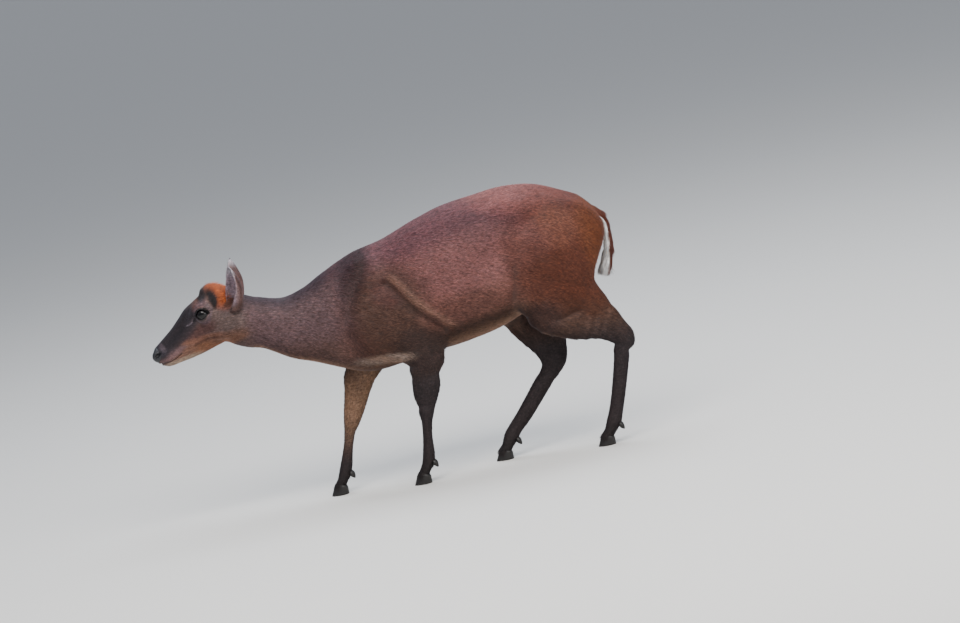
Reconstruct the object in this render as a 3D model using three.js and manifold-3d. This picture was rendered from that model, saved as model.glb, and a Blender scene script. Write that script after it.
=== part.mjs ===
// A life-size adult muntjac doe in mid-stride with her head held low, as a still museum model.
// Millimetres, +Z up. Her head is towards -X and her left side towards -Y, the floor is z = 0,
// and the origin is on the floor below the middle of her box.

import * as THREE from 'three';
import { LoftGeometry } from 'three/addons/geometries/LoftGeometry.js';
import { mergeVertices } from 'three/addons/utils/BufferGeometryUtils.js';
import Module from 'manifold-3d';

const wasm = await Module();
wasm.setup();

const { Vector3 } = THREE;
const DEG = Math.PI / 180;
const GAP = 0.3; // between pieces that touch
const LEFT = -1;
const RIGHT = 1;
const SIDES = [['left', LEFT], ['right', RIGHT]];

// Driving dimensions

const headPose = { tipX: -482, tipZ: 370, pitch: 27 }; // the head's own frame, along its mid line
const eye = { along: 133, up: 10, out: 31, radius: 14.2 };
const ear = { baseX: -302, baseZ: 440, out: 27, length: 106 };
const forePlane = 238; // the level at which a fore leg leaves the trunk
const shinLevel = 150; // below it there are only the legs' own forms
const hipPlane = { x: 190, z: 258, slope: 33.4 }; // from the fold of the flank to below the tail
const neckPlane = { x: -105, z: 390, slope: 69 };
const throatPlane = { x: -284, z: 402, slope: 74 };

// Sections of the trunk and neck: place along X, back, belly, half width, lean of the widest
// level (plus is high) and fullness of the section

const trunkSections = [
  [-356, 462, 392, 26, 0.0, 2.0],
  [-324, 468, 364, 31, 0.0, 2.0],
  [-297, 466, 350, 34, 0.0, 2.0],
  [-262, 452, 339, 37, 0.0, 2.1],
  [-208, 438, 306, 42, -0.04, 2.1],
  [-164, 446, 288, 49, -0.06, 2.1],
  [-117, 468, 267, 58, -0.05, 2.1],
  [-80, 485, 252, 65, -0.04, 2.1],
  [-43, 499, 245, 72, -0.04, 2.1],
  [20, 513, 250, 84, -0.08, 2.1],
  [90, 537, 259, 97, -0.12, 2.2],
  [150, 554, 266, 103, -0.13, 2.2],
  [219, 563, 279, 102, -0.1, 2.2],
  [283, 568, 302, 92, -0.06, 2.1],
  [345, 560, 334, 80, 0.0, 2.1],
  [402, 536, 366, 66, 0.0, 2.0],
  [450, 510, 394, 52, 0.0, 2.0],
  [476, 494, 404, 46, 0.0, 2.0],
];

// Sections of the head in its own frame, from the tip of the nose to the back of the skull

const headSections = [
  [-6, 11, -24, 14, 0.0, 2.2],
  [12, 16, -36, 17, -0.02, 2.2],
  [33, 20, -43, 19, 0.0, 2.2],
  [58, 25, -51, 22, 0.04, 2.1],
  [82, 32, -57, 26, 0.12, 2.1],
  [104, 39, -61, 31, 0.2, 2.1],
  [126, 41, -65, 36, 0.26, 2.2],
  [150, 42, -68, 37, 0.24, 2.2],
  [175, 40, -66, 35, 0.16, 2.1],
  [200, 30, -58, 31, 0.05, 2.0],
];

const trunk = { x: 0, z: 0, pitch: 0, sections: trunkSections, startRound: 40, endRound: 56 };
const head = {
  x: headPose.tipX, z: headPose.tipZ, pitch: headPose.pitch,
  sections: headSections, startRound: 15, endRound: 40,
};

// Legs as chains of joints and waists: x, distance from the middle, z, half depth, half width.
// The heel is the point of the hock.

const legs = {
  fore_left: {
    side: LEFT,
    chain: [
      [-22, 34, 436, 26, 15], [-42, 56, 352, 44, 24], [56, 54, 274, 37, 22],
      [53, 50, 235, 31, 19], [50, 47, 206, 30, 17], [45, 45, 184, 26, 15], [42, 43, 163, 19, 13],
      [38, 42, 146, 16, 14.5], [35, 41, 127, 12, 11.5], [30, 40, 96, 10.5, 9.8],
      [23, 39, 50, 13.5, 12.5], [12, 39, 30, 11, 12.5], [4, 39, 16, 12, 13],
    ],
  },
  fore_right: {
    side: RIGHT,
    chain: [
      [-26, 34, 436, 26, 15], [-76, 56, 346, 42, 24], [-72, 54, 276, 38, 22],
      [-84, 50, 236, 34, 19], [-92, 47, 214, 29, 17], [-101, 45, 190, 25, 15], [-111, 43, 165, 21, 13.5],
      [-119, 42, 146, 17, 14.5], [-127, 41, 127, 12.5, 11.5], [-137, 40, 96, 10.5, 9.8],
      [-152, 39, 50, 13.5, 12.5], [-163, 39, 30, 11, 12.5], [-171, 39, 16, 12, 13],
    ],
  },
  hind_left: {
    side: LEFT,
    chain: [
      [376, 44, 440, 84, 40], [340, 55, 350, 74, 40], [318, 58, 290, 34, 28],
      [372, 54, 262, 33, 25], [424, 49, 240, 22, 18], [460, 45, 214, 19, 15], [457, 43, 190, 17, 13.5],
      [450, 42, 160, 16, 12.5], [433, 41, 103, 15, 11.5], [420, 41, 66, 15, 11.5],
      [412, 41, 47, 15.5, 13.5], [400, 41, 29, 12, 13], [391, 41, 16, 13, 13.5],
    ],
    heel: { at: [474, 45, 216], radii: [14, 11, 24], pitch: 8, soft: 10 },
  },
  hind_right: {
    side: RIGHT,
    chain: [
      [376, 44, 440, 84, 40], [300, 55, 368, 70, 40], [252, 58, 312, 36, 28],
      [276, 54, 262, 33, 24], [302, 48, 215, 24, 17], [312, 45, 184, 22, 15], [301, 43, 160, 18, 13.5],
      [280, 42, 136, 18, 12.5], [237, 41, 87, 16.5, 11.5], [212, 41, 62, 15, 11.5],
      [199, 41, 46, 15.5, 13.5], [187, 41, 29, 12, 13], [178, 41, 16, 13, 13.5],
    ],
    heel: { at: [322, 45, 176], radii: [13, 11, 30], pitch: -30, soft: 12 },
  },
};

// Muscles and bones that show under the coat: centre, radii, pitch of the long axis, softness

const pairedForms = [
  { at: [-44, 40, 418], radii: [36, 22, 62], pitch: -12, soft: 34 }, // shoulder blade
  { at: [296, 54, 516], radii: [44, 20, 22], pitch: -6, soft: 34 }, // point of the hip
  { at: [430, 32, 446], radii: [36, 22, 40], pitch: 20, soft: 26 }, // point of the rump
];

const leftForms = [
  { at: [8, 66, 352], radii: [58, 26, 66], pitch: -28, soft: 22 }, // triceps
  { at: [-56, 56, 330], radii: [34, 24, 42], pitch: 20, soft: 24 }, // point of the shoulder
  { at: [362, 60, 412], radii: [84, 36, 78], pitch: 35, soft: 30 }, // haunch
  { at: [400, 52, 330], radii: [33, 27, 58], pitch: 22, soft: 24 }, // back of the thigh
  { at: [434, 50, 284], radii: [23, 19, 80], pitch: 28, soft: 24 }, // calf down to the hock
  { at: [56, 52, 262], radii: [30, 18, 26], pitch: -20, soft: 14 }, // elbow
];

const rightForms = [
  { at: [-14, 66, 350], radii: [56, 26, 66], pitch: -34, soft: 22 },
  { at: [-88, 55, 326], radii: [32, 23, 42], pitch: 14, soft: 24 },
  { at: [344, 60, 414], radii: [92, 36, 72], pitch: 42, soft: 30 },
  { at: [334, 52, 318], radii: [34, 27, 56], pitch: 8, soft: 24 },
  { at: [328, 50, 258], radii: [24, 18, 78], pitch: 3, soft: 24 },
  { at: [-58, 52, 262], radii: [28, 18, 26], pitch: -20, soft: 14 },
];

// Forms of the head in its own frame: brow, cheek, jaw, muzzle

const faceForms = [
  { at: [134, 28, 18], radii: [26, 15, 18], pitch: 0, soft: 8 }, // rim of the eye socket
  { at: [150, 26, -30], radii: [34, 13, 28], pitch: 20, soft: 14 }, // cheek
  { at: [92, 19, -22], radii: [44, 9, 13], pitch: 6, soft: 12 }, // ridge of the cheek bone
  { at: [4, 9, -2], radii: [13, 7.5, 12], pitch: 0, soft: 7 }, // wing of the nose
  { at: [26, 12, -14], radii: [24, 8, 11], pitch: 0, soft: 9 }, // upper lip
];

// Hollows: in front of the eye, the flank, behind the shoulder

const faceHollows = [
  { at: [103, 36, 12], radii: [20, 9, 12], pitch: 0, soft: 8 },
];
const bodyHollows = [
  { at: [252, 112, 440], radii: [44, 18, 60], pitch: -24, soft: 30 },
  { at: [-118, 74, 300], radii: [40, 20, 70], pitch: 14, soft: 26 },
];

// The body as a field: a rough distance to the surface, negative inside

const lerp = (a, b, t) => a + (b - a) * t;
const clamp = (value, low, high) => Math.min(Math.max(value, low), high);

function join(a, b, soft) {
  const near = Math.max(soft - Math.abs(a - b), 0) / soft;
  return Math.min(a, b) - near * near * soft / 4;
}

const carve = (a, b, soft) => -join(-a, b, soft);

function readSections(rows, place) {
  const last = rows.length - 1;
  if (place <= rows[0][0]) return rows[0];
  if (place >= rows[last][0]) return rows[last];
  let i = 1;
  while (rows[i][0] < place) i++;
  const a = rows[i - 1];
  const b = rows[i];
  const before = rows[Math.max(i - 2, 0)];
  const after = rows[Math.min(i + 1, last)];
  const span = b[0] - a[0];
  const t = (place - a[0]) / span;
  return a.map((value, c) => {
    const leave = span * (b[c] - before[c]) / (b[0] - before[0]);
    const arrive = span * (after[c] - value) / (after[0] - a[0]);
    const bend = 3 * (b[c] - value) - 2 * leave - arrive;
    const settle = leave + arrive - 2 * (b[c] - value);
    return value + t * (leave + t * (bend + t * settle));
  });
}

const toFrame = (frame, x, z) => {
  const [cos, sin] = [Math.cos(frame.pitch * DEG), Math.sin(frame.pitch * DEG)];
  return [(x - frame.x) * cos + (z - frame.z) * sin, (z - frame.z) * cos - (x - frame.x) * sin];
};

const fromFrame = (frame, along, up) => {
  const [cos, sin] = [Math.cos(frame.pitch * DEG), Math.sin(frame.pitch * DEG)];
  return [frame.x + along * cos - up * sin, frame.z + along * sin + up * cos];
};

function sectionDistance(p, frame) {
  const [along, up] = toFrame(frame, p.x, p.z);
  const rows = frame.sections;
  const [, top, bottom, half, lean, full] = readSections(rows, along);
  const height = (top - bottom) / 2;
  const rise = up - (top + bottom) / 2;
  const tall = rise / height;
  const wide = p.y / (half * (1 + lean * clamp(tall, -1, 1)));
  const startPast = Math.max(rows[0][0] + frame.startRound - along, 0);
  const endPast = Math.max(along - rows[rows.length - 1][0] + frame.endRound, 0);
  const past = Math.max(startPast / frame.startRound, endPast / frame.endRound);
  const r = (Math.abs(wide) ** full + Math.abs(tall) ** full + past ** full) ** (1 / full);
  if (r < 0.05) return -Math.min(height, half) * 0.95;
  return Math.hypot(p.y, rise, Math.max(startPast, endPast)) * (1 - 1 / r);
}

function ovalDistance(x, y, z, form) {
  const [cos, sin] = [Math.cos(form.pitch * DEG), Math.sin(form.pitch * DEG)];
  const [dx, dy, dz] = [x - form.at[0], y - form.at[1], z - form.at[2]];
  const along = (dx * cos + dz * sin) / form.radii[0];
  const up = (dz * cos - dx * sin) / form.radii[2];
  const r = Math.hypot(along, dy / form.radii[1], up);
  if (r < 0.05) return -Math.min(...form.radii);
  return Math.hypot(dx, dy, dz) * (1 - 1 / r);
}

function boneDistance(x, y, z, a, b) {
  const [bx, by, bz] = [b[0] - a[0], b[1] - a[1], b[2] - a[2]];
  const dot = (x - a[0]) * bx + (y - a[1]) * by + (z - a[2]) * bz;
  const t = clamp(dot / (bx * bx + by * by + bz * bz), 0, 1);
  const [dx, dy, dz] = [x - a[0] - bx * t, y - a[1] - by * t, z - a[2] - bz * t];
  const [deep, wide] = [lerp(a[3], b[3], t), lerp(a[4], b[4], t)];
  const r = Math.hypot(Math.hypot(dx, dz) / deep, dy / wide);
  if (r < 0.05) return -Math.min(deep, wide);
  return Math.hypot(dx, dy, dz) * (1 - 1 / r);
}

function legDistance(p, leg) {
  const y = p.y * leg.side;
  const bones = leg.chain.slice(1).map((row, i) => boneDistance(p.x, y, p.z, leg.chain[i], row));
  const d = bones.reduce((sum, bone) => join(sum, bone, 8));
  return leg.heel ? join(d, ovalDistance(p.x, y, p.z, leg.heel), leg.heel.soft) : d;
}

function headDistance(p) {
  const [along, up] = toFrame(head, p.x, p.z);
  const out = Math.abs(p.y);
  let d = sectionDistance(p, head);
  for (const form of faceForms) d = join(d, ovalDistance(along, out, up, form), form.soft);
  for (const form of faceHollows) d = carve(d, ovalDistance(along, out, up, form), form.soft);
  return d;
}

function bodyDistance(p) {
  if (p.z < shinLevel) return Math.min(...Object.values(legs).map((leg) => legDistance(p, leg)));
  let d = sectionDistance(p, trunk);
  for (const form of pairedForms) {
    d = join(d, ovalDistance(p.x, Math.abs(p.y), p.z, form), form.soft);
  }
  for (const form of leftForms) d = join(d, ovalDistance(p.x, -p.y, p.z, form), form.soft);
  for (const form of rightForms) d = join(d, ovalDistance(p.x, p.y, p.z, form), form.soft);
  for (const leg of Object.values(legs)) d = join(d, legDistance(p, leg), 30);
  for (const form of bodyHollows) {
    d = carve(d, ovalDistance(p.x, Math.abs(p.y), p.z, form), form.soft);
  }
  if (p.x < -120) d = join(d, headDistance(p), 20);
  return d;
}

// A ring of points on the surface, cast from a centre in a plane that holds the Y axis and
// slopes up towards +X by the given angle. The rays are spread as the section is long and wide.

function castRay(centre, ray, distance) {
  const point = new Vector3();
  const at = (length) => distance(point.copy(centre).addScaledVector(ray, length));
  let inside = 0;
  let outside = 0.5;
  for (let d = at(outside); d < 0 && outside < 600; d = at(outside)) {
    inside = outside;
    outside += Math.max(0.6, -d * 0.6);
  }
  for (let i = 0; i < 16; i++) {
    const middle = (inside + outside) / 2;
    if (at(middle) < 0) inside = middle;
    else outside = middle;
  }
  return inside;
}

function castRing(station, sectors, distance) {
  const [x, y, z, slope] = station;
  const centre = new Vector3(x, y, z);
  if (distance(centre) >= 0) throw new Error(`ring centre outside the body: ${station}`);
  const along = new Vector3(Math.cos(slope * DEG), 0, Math.sin(slope * DEG));
  const across = new Vector3(0, -1, 0);
  const span = (axis) => (
    castRay(centre, axis, distance) + castRay(centre, axis.clone().negate(), distance));
  const aspect = clamp(span(along) / span(across), 0.5, 2.2);
  return Array.from({ length: sectors }, (_, j) => {
    const angle = 2 * Math.PI * j / sectors;
    const ray = along.clone().multiplyScalar(aspect * Math.cos(angle));
    ray.addScaledVector(across, Math.sin(angle)).normalize();
    return centre.clone().addScaledVector(ray, castRay(centre, ray, distance));
  });
}

// A closed body over rings, each end closed by a fan to its tip or to the ring's own middle

function skinRings(rings, startTip, endTip) {
  const points = rings.flat();
  const count = rings[0].length;
  const faces = [];
  const middle = (ring) => ring.reduce((sum, q) => sum.add(q), new Vector3()).divideScalar(count);
  for (let i = 0; i + 1 < rings.length; i++) {
    for (let j = 0; j < count; j++) {
      const [a, b] = [i * count + j, i * count + (j + 1) % count];
      faces.push(a, b, a + count, b, b + count, a + count);
    }
  }
  const start = points.push(startTip ?? middle(rings[0])) - 1;
  const end = points.push(endTip ?? middle(rings[rings.length - 1])) - 1;
  const foot = (rings.length - 1) * count;
  for (let j = 0; j < count; j++) {
    const k = (j + 1) % count;
    faces.push(start, k, j, end, foot + j, foot + k);
  }
  const geometry = new THREE.BufferGeometry().setFromPoints(points);
  geometry.setIndex(faces);
  return signedVolume(geometry) < 0 ? turnInsideOut(geometry) : geometry;
}

function signedVolume(geometry) {
  const { position } = geometry.attributes;
  const corner = (i) => new Vector3().fromBufferAttribute(position, geometry.index.getX(i));
  let sum = 0;
  for (let i = 0; i < geometry.index.count; i += 3) {
    sum += corner(i).dot(corner(i + 1).cross(corner(i + 2))) / 6;
  }
  return sum;
}

function turnInsideOut(geometry) {
  const faces = Array.from(geometry.index.array);
  for (let i = 0; i < faces.length; i += 3) [faces[i], faces[i + 1]] = [faces[i + 1], faces[i]];
  geometry.setIndex(faces);
  return geometry;
}

// Cutting and joining

function toSolid(source) {
  const bare = new THREE.BufferGeometry().copy(source);
  bare.deleteAttribute('normal');
  bare.deleteAttribute('uv');
  const merged = mergeVertices(bare, 1e-4);
  return new wasm.Manifold(new wasm.Mesh({
    numProp: 3,
    vertProperties: new Float32Array(merged.attributes.position.array),
    triVerts: new Uint32Array(merged.index.array),
  }));
}

function toGeometry(solid) {
  const largest = solid.decompose().sort((a, b) => b.volume() - a.volume())[0];
  const mesh = largest.getMesh();
  const geometry = new THREE.BufferGeometry();
  geometry.setAttribute('position', new THREE.BufferAttribute(new Float32Array(mesh.vertProperties), 3));
  geometry.setIndex(Array.from(mesh.triVerts));
  return geometry;
}

// The stations of a loft between two cut planes, drawn through the given ones

function spread(stations, count) {
  const rows = stations.map((row, i) => [i, ...row]);
  return Array.from({ length: count }, (_, i) => (
    readSections(rows, (stations.length - 1) * i / (count - 1)).slice(1)));
}

// Moves a station's plane along its own normal, so that two pieces cut there stay apart

function nudge([x, y, z, slope], by) {
  return [x + by * Math.sin(slope * DEG), y, z - by * Math.cos(slope * DEG), slope];
}

function loft(stations, sectors, distance = bodyDistance) {
  const placed = stations.slice();
  placed[0] = nudge(placed[0], GAP / 2);
  placed[placed.length - 1] = nudge(placed[placed.length - 1], -GAP / 2);
  return placed.map((station) => castRing(station, sectors, distance));
}

// Locks of hair: flat tapered blades that are rooted under a surface and bend over to its lie

const lockShape = [
  // share of the length, share of the width, share of the thickness
  [0, 0.75, 1],
  [0.4, 1, 0.9],
  [0.75, 0.72, 0.55],
];

const jitter = (seed, amount) => 1 + amount * (2 * THREE.MathUtils.seededRandom(seed) - 1);

function makeLock({ root, rise, lie, long, wide, thick, sink, stand }) {
  const across = new Vector3().crossVectors(rise, lie).normalize();
  const at = (share) => {
    const lift = long * stand * share * (1 - 0.55 * share) - sink * (1 - share);
    return root.clone().addScaledVector(lie, long * share).addScaledVector(rise, lift);
  };
  const rings = lockShape.map(([share, broad, deep]) => {
    const middle = at(share);
    const heading = at(share + 0.05).sub(middle).normalize();
    const up = new Vector3().crossVectors(heading, across).normalize();
    return [[wide * broad, 0], [0, thick * deep], [-wide * broad, 0], [0, -thick * deep]].map(([w, h]) => (
      middle.clone().addScaledVector(across, w / 2).addScaledVector(up, h / 2)));
  });
  return toSolid(skinRings(rings, undefined, at(1)));
}

// The way out of a field at a point

function outward(point, distance) {
  const step = (axis) => distance(point.clone().add(axis)) - distance(point.clone().sub(axis));
  return new Vector3(step(new Vector3(1, 0, 0)), step(new Vector3(0, 1, 0)), step(new Vector3(0, 0, 1)))
    .normalize();
}

// Materials

const finish = (color, roughness = 0.8) => new THREE.MeshStandardMaterial({ color, roughness, metalness: 0 });
const backCoat = finish(0x6b3a2a);
const neckCoat = finish(0x66504a);
const faceCoat = finish(0x4a3532);
const haunchCoat = finish(0x7a3f27);
const legCoat = finish(0x2c2022);
const tailCoat = finish(0x6a3322);
const earCoat = finish(0x8a716c);
const noseLeather = finish(0x1c1a20, 0.4);
const hoofHorn = finish(0x1f1a18, 0.45);
const eyeGlass = finish(0x120c0a, 0.08);

const muntjac = new THREE.Group();

// Cuts a solid clear of pieces that are already made, a gap away in the given directions

function cutClear(solid, names, shifts) {
  let rest = solid;
  for (const name of names) {
    const carrier = toSolid(muntjac.getObjectByName(name).geometry);
    for (const shift of [[0, 0, 0], ...shifts]) rest = rest.subtract(carrier.translate(shift));
  }
  return rest;
}

function addPart(name, geometry, material) {
  geometry.computeVertexNormals();
  const mesh = new THREE.Mesh(geometry, material);
  mesh.name = name;
  muntjac.add(mesh);
}

// Trunk, neck and head along one line

const TRUNK_SECTORS = 32;
const throat = [throatPlane.x, 0, throatPlane.z, throatPlane.slope];
const collar = [neckPlane.x, 0, neckPlane.z, neckPlane.slope];
const fan = (slope) => [
  hipPlane.x + 150 * Math.cos(slope * DEG), 0, hipPlane.z + 150 * Math.sin(slope * DEG), slope,
];

const rumpStations = () => spread([fan(90), fan(hipPlane.slope)], 10).map((row) => fan(row[3]));

function makeTorso() {
  const barrel = spread([collar, [-40, 0, 375, 76], [40, 0, 385, 86], [120, 0, 405, 90], fan(90)], 19);
  const aboveLegs = (p) => Math.max(bodyDistance(p), forePlane - 12 - p.z);
  const stations = [...barrel, ...rumpStations().slice(1)];
  const solid = toSolid(skinRings(loft(stations, TRUNK_SECTORS, aboveLegs)));
  addPart('torso', toGeometry(solid.trimByPlane([0, 0, 1], forePlane + GAP / 2)), backCoat);
}

function makeNeck() {
  const stations = spread([throat, [-235, 0, 385, 72], [-170, 0, 372, 70], collar], 9);
  addPart('neck', skinRings(loft(stations, TRUNK_SECTORS)), neckCoat);
}

const inHead = (along, up, slope) => {
  const [x, z] = fromFrame(head, along, up);
  return [x, 0, z, slope];
};

function headStations() {
  const places = [8, 16, 26, 38, 52, 66, 80, 93, 105, 116, 127, 138, 150, 163, 176];
  const slopes = (i) => lerp(90 + headPose.pitch, throatPlane.slope, (i / places.length) ** 1.6);
  const stations = places.map((along, i) => {
    const [, top, bottom] = readSections(headSections, along);
    return inHead(along, (top + bottom) / 2 + 3, slopes(i));
  });
  const tips = [-4.5, -1, 3].map((along) => inHead(along, -6, 90 + headPose.pitch));
  return [...tips, ...stations, throat];
}

// The bare leather of the nose is parted from the head by a sloping plane

const nosePlane = { x: -474.5, z: 375, slope: 63.4 };

function makeHead() {
  const [tipX, tipZ] = fromFrame(head, -6, -6);
  const skull = toSolid(skinRings(loft(headStations(), TRUNK_SECTORS), new Vector3(tipX, 0, tipZ)));
  const normal = [Math.sin(nosePlane.slope * DEG), 0, -Math.cos(nosePlane.slope * DEG)];
  const offset = normal[0] * nosePlane.x + normal[2] * nosePlane.z;
  let pad = skull.trimByPlane(normal.map((n) => -n), GAP / 2 - offset);
  for (const [, side] of SIDES) pad = pad.subtract(makeNostril(side));
  addPart('nose_pad', toGeometry(pad), noseLeather);
  let face = skull.trimByPlane(normal, offset + GAP / 2).subtract(makeMouthLine());
  for (const lock of makeCrown()) face = face.add(lock);
  for (const [label, side] of SIDES) {
    const socket = eyeCentre(side);
    face = face.add(makeLids(side)).subtract(toSolid(ball(socket, eye.radius + GAP)));
    addPart(`eye_${label}`, ball(socket, eye.radius), eyeGlass);
  }
  addPart('head', toGeometry(face), faceCoat);
}

// The line of the mouth: a sheet across the muzzle that cuts only as deep as the groove, from
// the tip to the corner, as points along X and Z

const mouth = {
  // x, z, half the opening
  line: [[-496, 347, 0.9], [-476, 353, 0.9], [-454, 355, 0.9], [-443, 358.5, 0.9], [-429, 367, 0.3]],
  deep: 4,
  across: 80,
};

function makeMouthLine() {
  const upper = mouth.line.map(([x, z, open]) => new THREE.Vector2(x, z + open));
  const lower = mouth.line.map(([x, z, open]) => new THREE.Vector2(x, z - open)).reverse();
  const outline = new THREE.Shape([...upper, ...lower]);
  const sheet = new THREE.ExtrudeGeometry(outline, { depth: mouth.across, bevelEnabled: false });
  sheet.rotateX(90 * DEG);
  sheet.translate(0, mouth.across / 2, 0);
  const within = (p) => headDistance(p) + mouth.deep;
  const stations = [2, 14, 28, 44, 60, 76].map((along) => inHead(along, -10, 90 + headPose.pitch));
  return toSolid(sheet).subtract(toSolid(skinRings(loft(stations, 20, within))));
}

// Nostrils: commas cut into the sides of the nose pad, in the head's own frame

const nostril = { along: 5, up: 0, out: 15.5, radii: [7, 5, 3.4], pitch: 24 };

function makeNostril(side) {
  const hole = new THREE.SphereGeometry(1, 8, 6);
  hole.scale(...nostril.radii);
  hole.rotateZ(side * 20 * DEG);
  hole.rotateY(-(headPose.pitch - nostril.pitch) * DEG);
  const [x, z] = fromFrame(head, nostril.along, nostril.up);
  hole.translate(x, side * nostril.out, z);
  return toSolid(hole);
}

// The crown: bristly locks from the brow back between the ears

const crown = { rows: 6, first: 140, last: 187, spread: 46, long: 25, wide: 12.5, thick: 3.4, sink: 4 };

function makeCrown() {
  const locks = [];
  const back = new Vector3(Math.cos(headPose.pitch * DEG), 0, Math.sin(headPose.pitch * DEG));
  const up = new Vector3(-back.z, 0, back.x);
  for (let row = 0; row < crown.rows; row++) {
    const count = row % 2 ? 5 : 6;
    for (let i = 0; i < count; i++) {
      const seed = row * 10 + i;
      const turn = crown.spread * DEG * (2 * i / (count - 1) - 1);
      const along = lerp(crown.first, crown.last, row / (crown.rows - 1)) - 8 * Math.abs(Math.sin(turn));
      const [x, z] = fromFrame(head, along, 0);
      const ray = up.clone().multiplyScalar(Math.cos(turn)).add(new Vector3(0, Math.sin(turn), 0));
      const centre = new Vector3(x, 0, z);
      const root = centre.addScaledVector(ray, castRay(centre, ray, bodyDistance));
      const rise = outward(root, bodyDistance);
      const lie = back.clone().add(new Vector3(0, 0.3 * Math.sin(turn), 0));
      lie.addScaledVector(rise, -lie.dot(rise)).normalize();
      const long = crown.long * jitter(seed, 0.12) * (row < crown.rows - 1 ? 1 : 0.85);
      locks.push(makeLock({ root, rise, lie, long, wide: crown.wide * jitter(seed + 100, 0.1),
        thick: crown.thick, sink: crown.sink, stand: 0.85 * Math.cos(turn) }));
    }
  }
  return locks;
}

// Eyes and their lids

const gaze = { forward: 18, up: 4 }; // degrees from straight sideways
const lid = { long: 12.5, high: 9, thick: 2.6, over: 1, rings: 20, sides: 6 };

function eyeCentre(side) {
  const [x, z] = fromFrame(head, eye.along, eye.up);
  return new Vector3(x, side * eye.out, z);
}

function ball(centre, radius) {
  const geometry = new THREE.SphereGeometry(radius, 16, 10);
  geometry.rotateX(90 * DEG);
  geometry.translate(centre.x, centre.y, centre.z);
  return geometry;
}

function makeLids(side) {
  const centre = eyeCentre(side);
  const rings = Array.from({ length: lid.rings }, (_, i) => {
    const turn = 2 * Math.PI * i / lid.rings;
    const flat = new Vector3(lid.long * Math.cos(turn), 0, lid.high * Math.sin(turn));
    const lift = Math.sqrt(eye.radius ** 2 - flat.lengthSq());
    const onBall = new Vector3(flat.x, lift, flat.z).setLength(eye.radius + lid.over);
    const away = onBall.clone().normalize();
    const heading = new Vector3(-lid.long * Math.sin(turn), 0, lid.high * Math.cos(turn));
    const aside = heading.cross(away).normalize();
    return Array.from({ length: lid.sides }, (__, j) => {
      const angle = 2 * Math.PI * j / lid.sides;
      const point = onBall.clone().addScaledVector(away, lid.thick * Math.sin(angle))
        .addScaledVector(aside, lid.thick * Math.cos(angle));
      point.applyAxisAngle(new Vector3(0, 1, 0), -headPose.pitch * DEG);
      point.applyAxisAngle(new Vector3(0, 0, 1), gaze.forward * DEG);
      point.applyAxisAngle(new Vector3(1, 0, 0), gaze.up * DEG);
      return new Vector3(centre.x + point.x, centre.y + side * point.y, centre.z + point.z);
    });
  });
  return toSolid(closedLoop(rings));
}

// A closed tube: rings that return to the first one

function closedLoop(rings) {
  const count = rings[0].length;
  const faces = [];
  for (let i = 0; i < rings.length; i++) {
    const next = (i + 1) % rings.length;
    for (let j = 0; j < count; j++) {
      const k = (j + 1) % count;
      const [a, b, c, d] = [i * count + j, i * count + k, next * count + k, next * count + j];
      faces.push(a, b, d, b, c, d);
    }
  }
  const geometry = new THREE.BufferGeometry().setFromPoints(rings.flat());
  geometry.setIndex(faces);
  return signedVolume(geometry) < 0 ? turnInsideOut(geometry) : geometry;
}

// Legs: each piece lies between two planes and is drawn through the stations of its middle
// line, as x, distance from her middle, z and slope of the plane

const hipJoint = (reach, out) => [
  hipPlane.x + reach * Math.cos(hipPlane.slope * DEG), out,
  hipPlane.z + reach * Math.sin(hipPlane.slope * DEG), hipPlane.slope,
];

const legPieces = {
  fore_left: [
    ['forearm', 12, 8, [[54, 50, forePlane, 0], [48, 46, 190, -4], [39, 42.5, 152, -4]]],
    ['cannon', 12, 8, [[39, 42.5, 152, -4], [35, 41, 127, -8], [30, 40, 96, -8], [24, 39, 60, -10]]],
    ['pastern', 12, 6, [[24, 39, 60, -10], [19, 39, 42, -20], [8, 39, 22, -22]]],
  ],
  fore_right: [
    ['forearm', 12, 8, [[-83, 50, forePlane, 0], [-100, 46, 194, -14], [-117, 42.5, 152, -18]]],
    ['cannon', 12, 8, [[-117, 42.5, 152, -18], [-127, 41, 127, -18], [-149, 39, 60, -18]]],
    ['pastern', 12, 6, [[-149, 39, 60, -18], [-156, 39, 42, -22], [-167, 39, 22, -22]]],
  ],
  hind_left: [
    ['thigh', 22, 7, [hipJoint(170, 46), [345, 50, 325, 33], [366, 54, 303, 32.6]]],
    ['shank', 16, 10, [[366, 54, 303, 32.6], [384, 54, 288, 44], [400, 53, 276, 54], [418, 51, 264, 62],
      [437, 49, 250, 62], [450, 47, 236, 46], [458, 45, 222, 28]]],
    ['cannon', 12, 11, [[458, 45, 222, 28], [459, 44, 205, 12], [457, 43, 190, 0], [452, 42, 163, -12],
      [433, 41, 103, -17], [418, 41, 60, -18]]],
    ['pastern', 12, 6, [[418, 41, 60, -18], [411, 41, 44, -22], [395, 41, 21, -22]]],
  ],
  hind_right: [
    ['thigh', 22, 7, [hipJoint(150, 46), [299, 50, 300, 20], [290, 54, 270, 5]]],
    ['shank', 16, 9, [[290, 54, 270, 5], [287, 54, 246, 14], [295, 50, 224, 20], [305, 47, 204, 18],
      [312, 45, 186, 4]]],
    ['cannon', 12, 11, [[312, 45, 186, 4], [309, 44, 172, -14], [299, 43, 155, -32], [279, 42, 133, -40],
      [235, 41, 87, -42], [211, 41, 61, -42]]],
    ['pastern', 12, 6, [[211, 41, 61, -42], [200, 41, 44, -32], [183, 41, 21, -22]]],
  ],
};
const sharedWithTrunk = ['forearm', 'thigh', 'shank'];

function pieceStations(name, piece) {
  const [, sectors, rings, middles] = legPieces[name].find(([label]) => label === piece);
  const { side } = legs[name];
  return [spread(middles.map(([x, out, z, slope]) => [x, out * side, z, slope]), rings), sectors];
}

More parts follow.
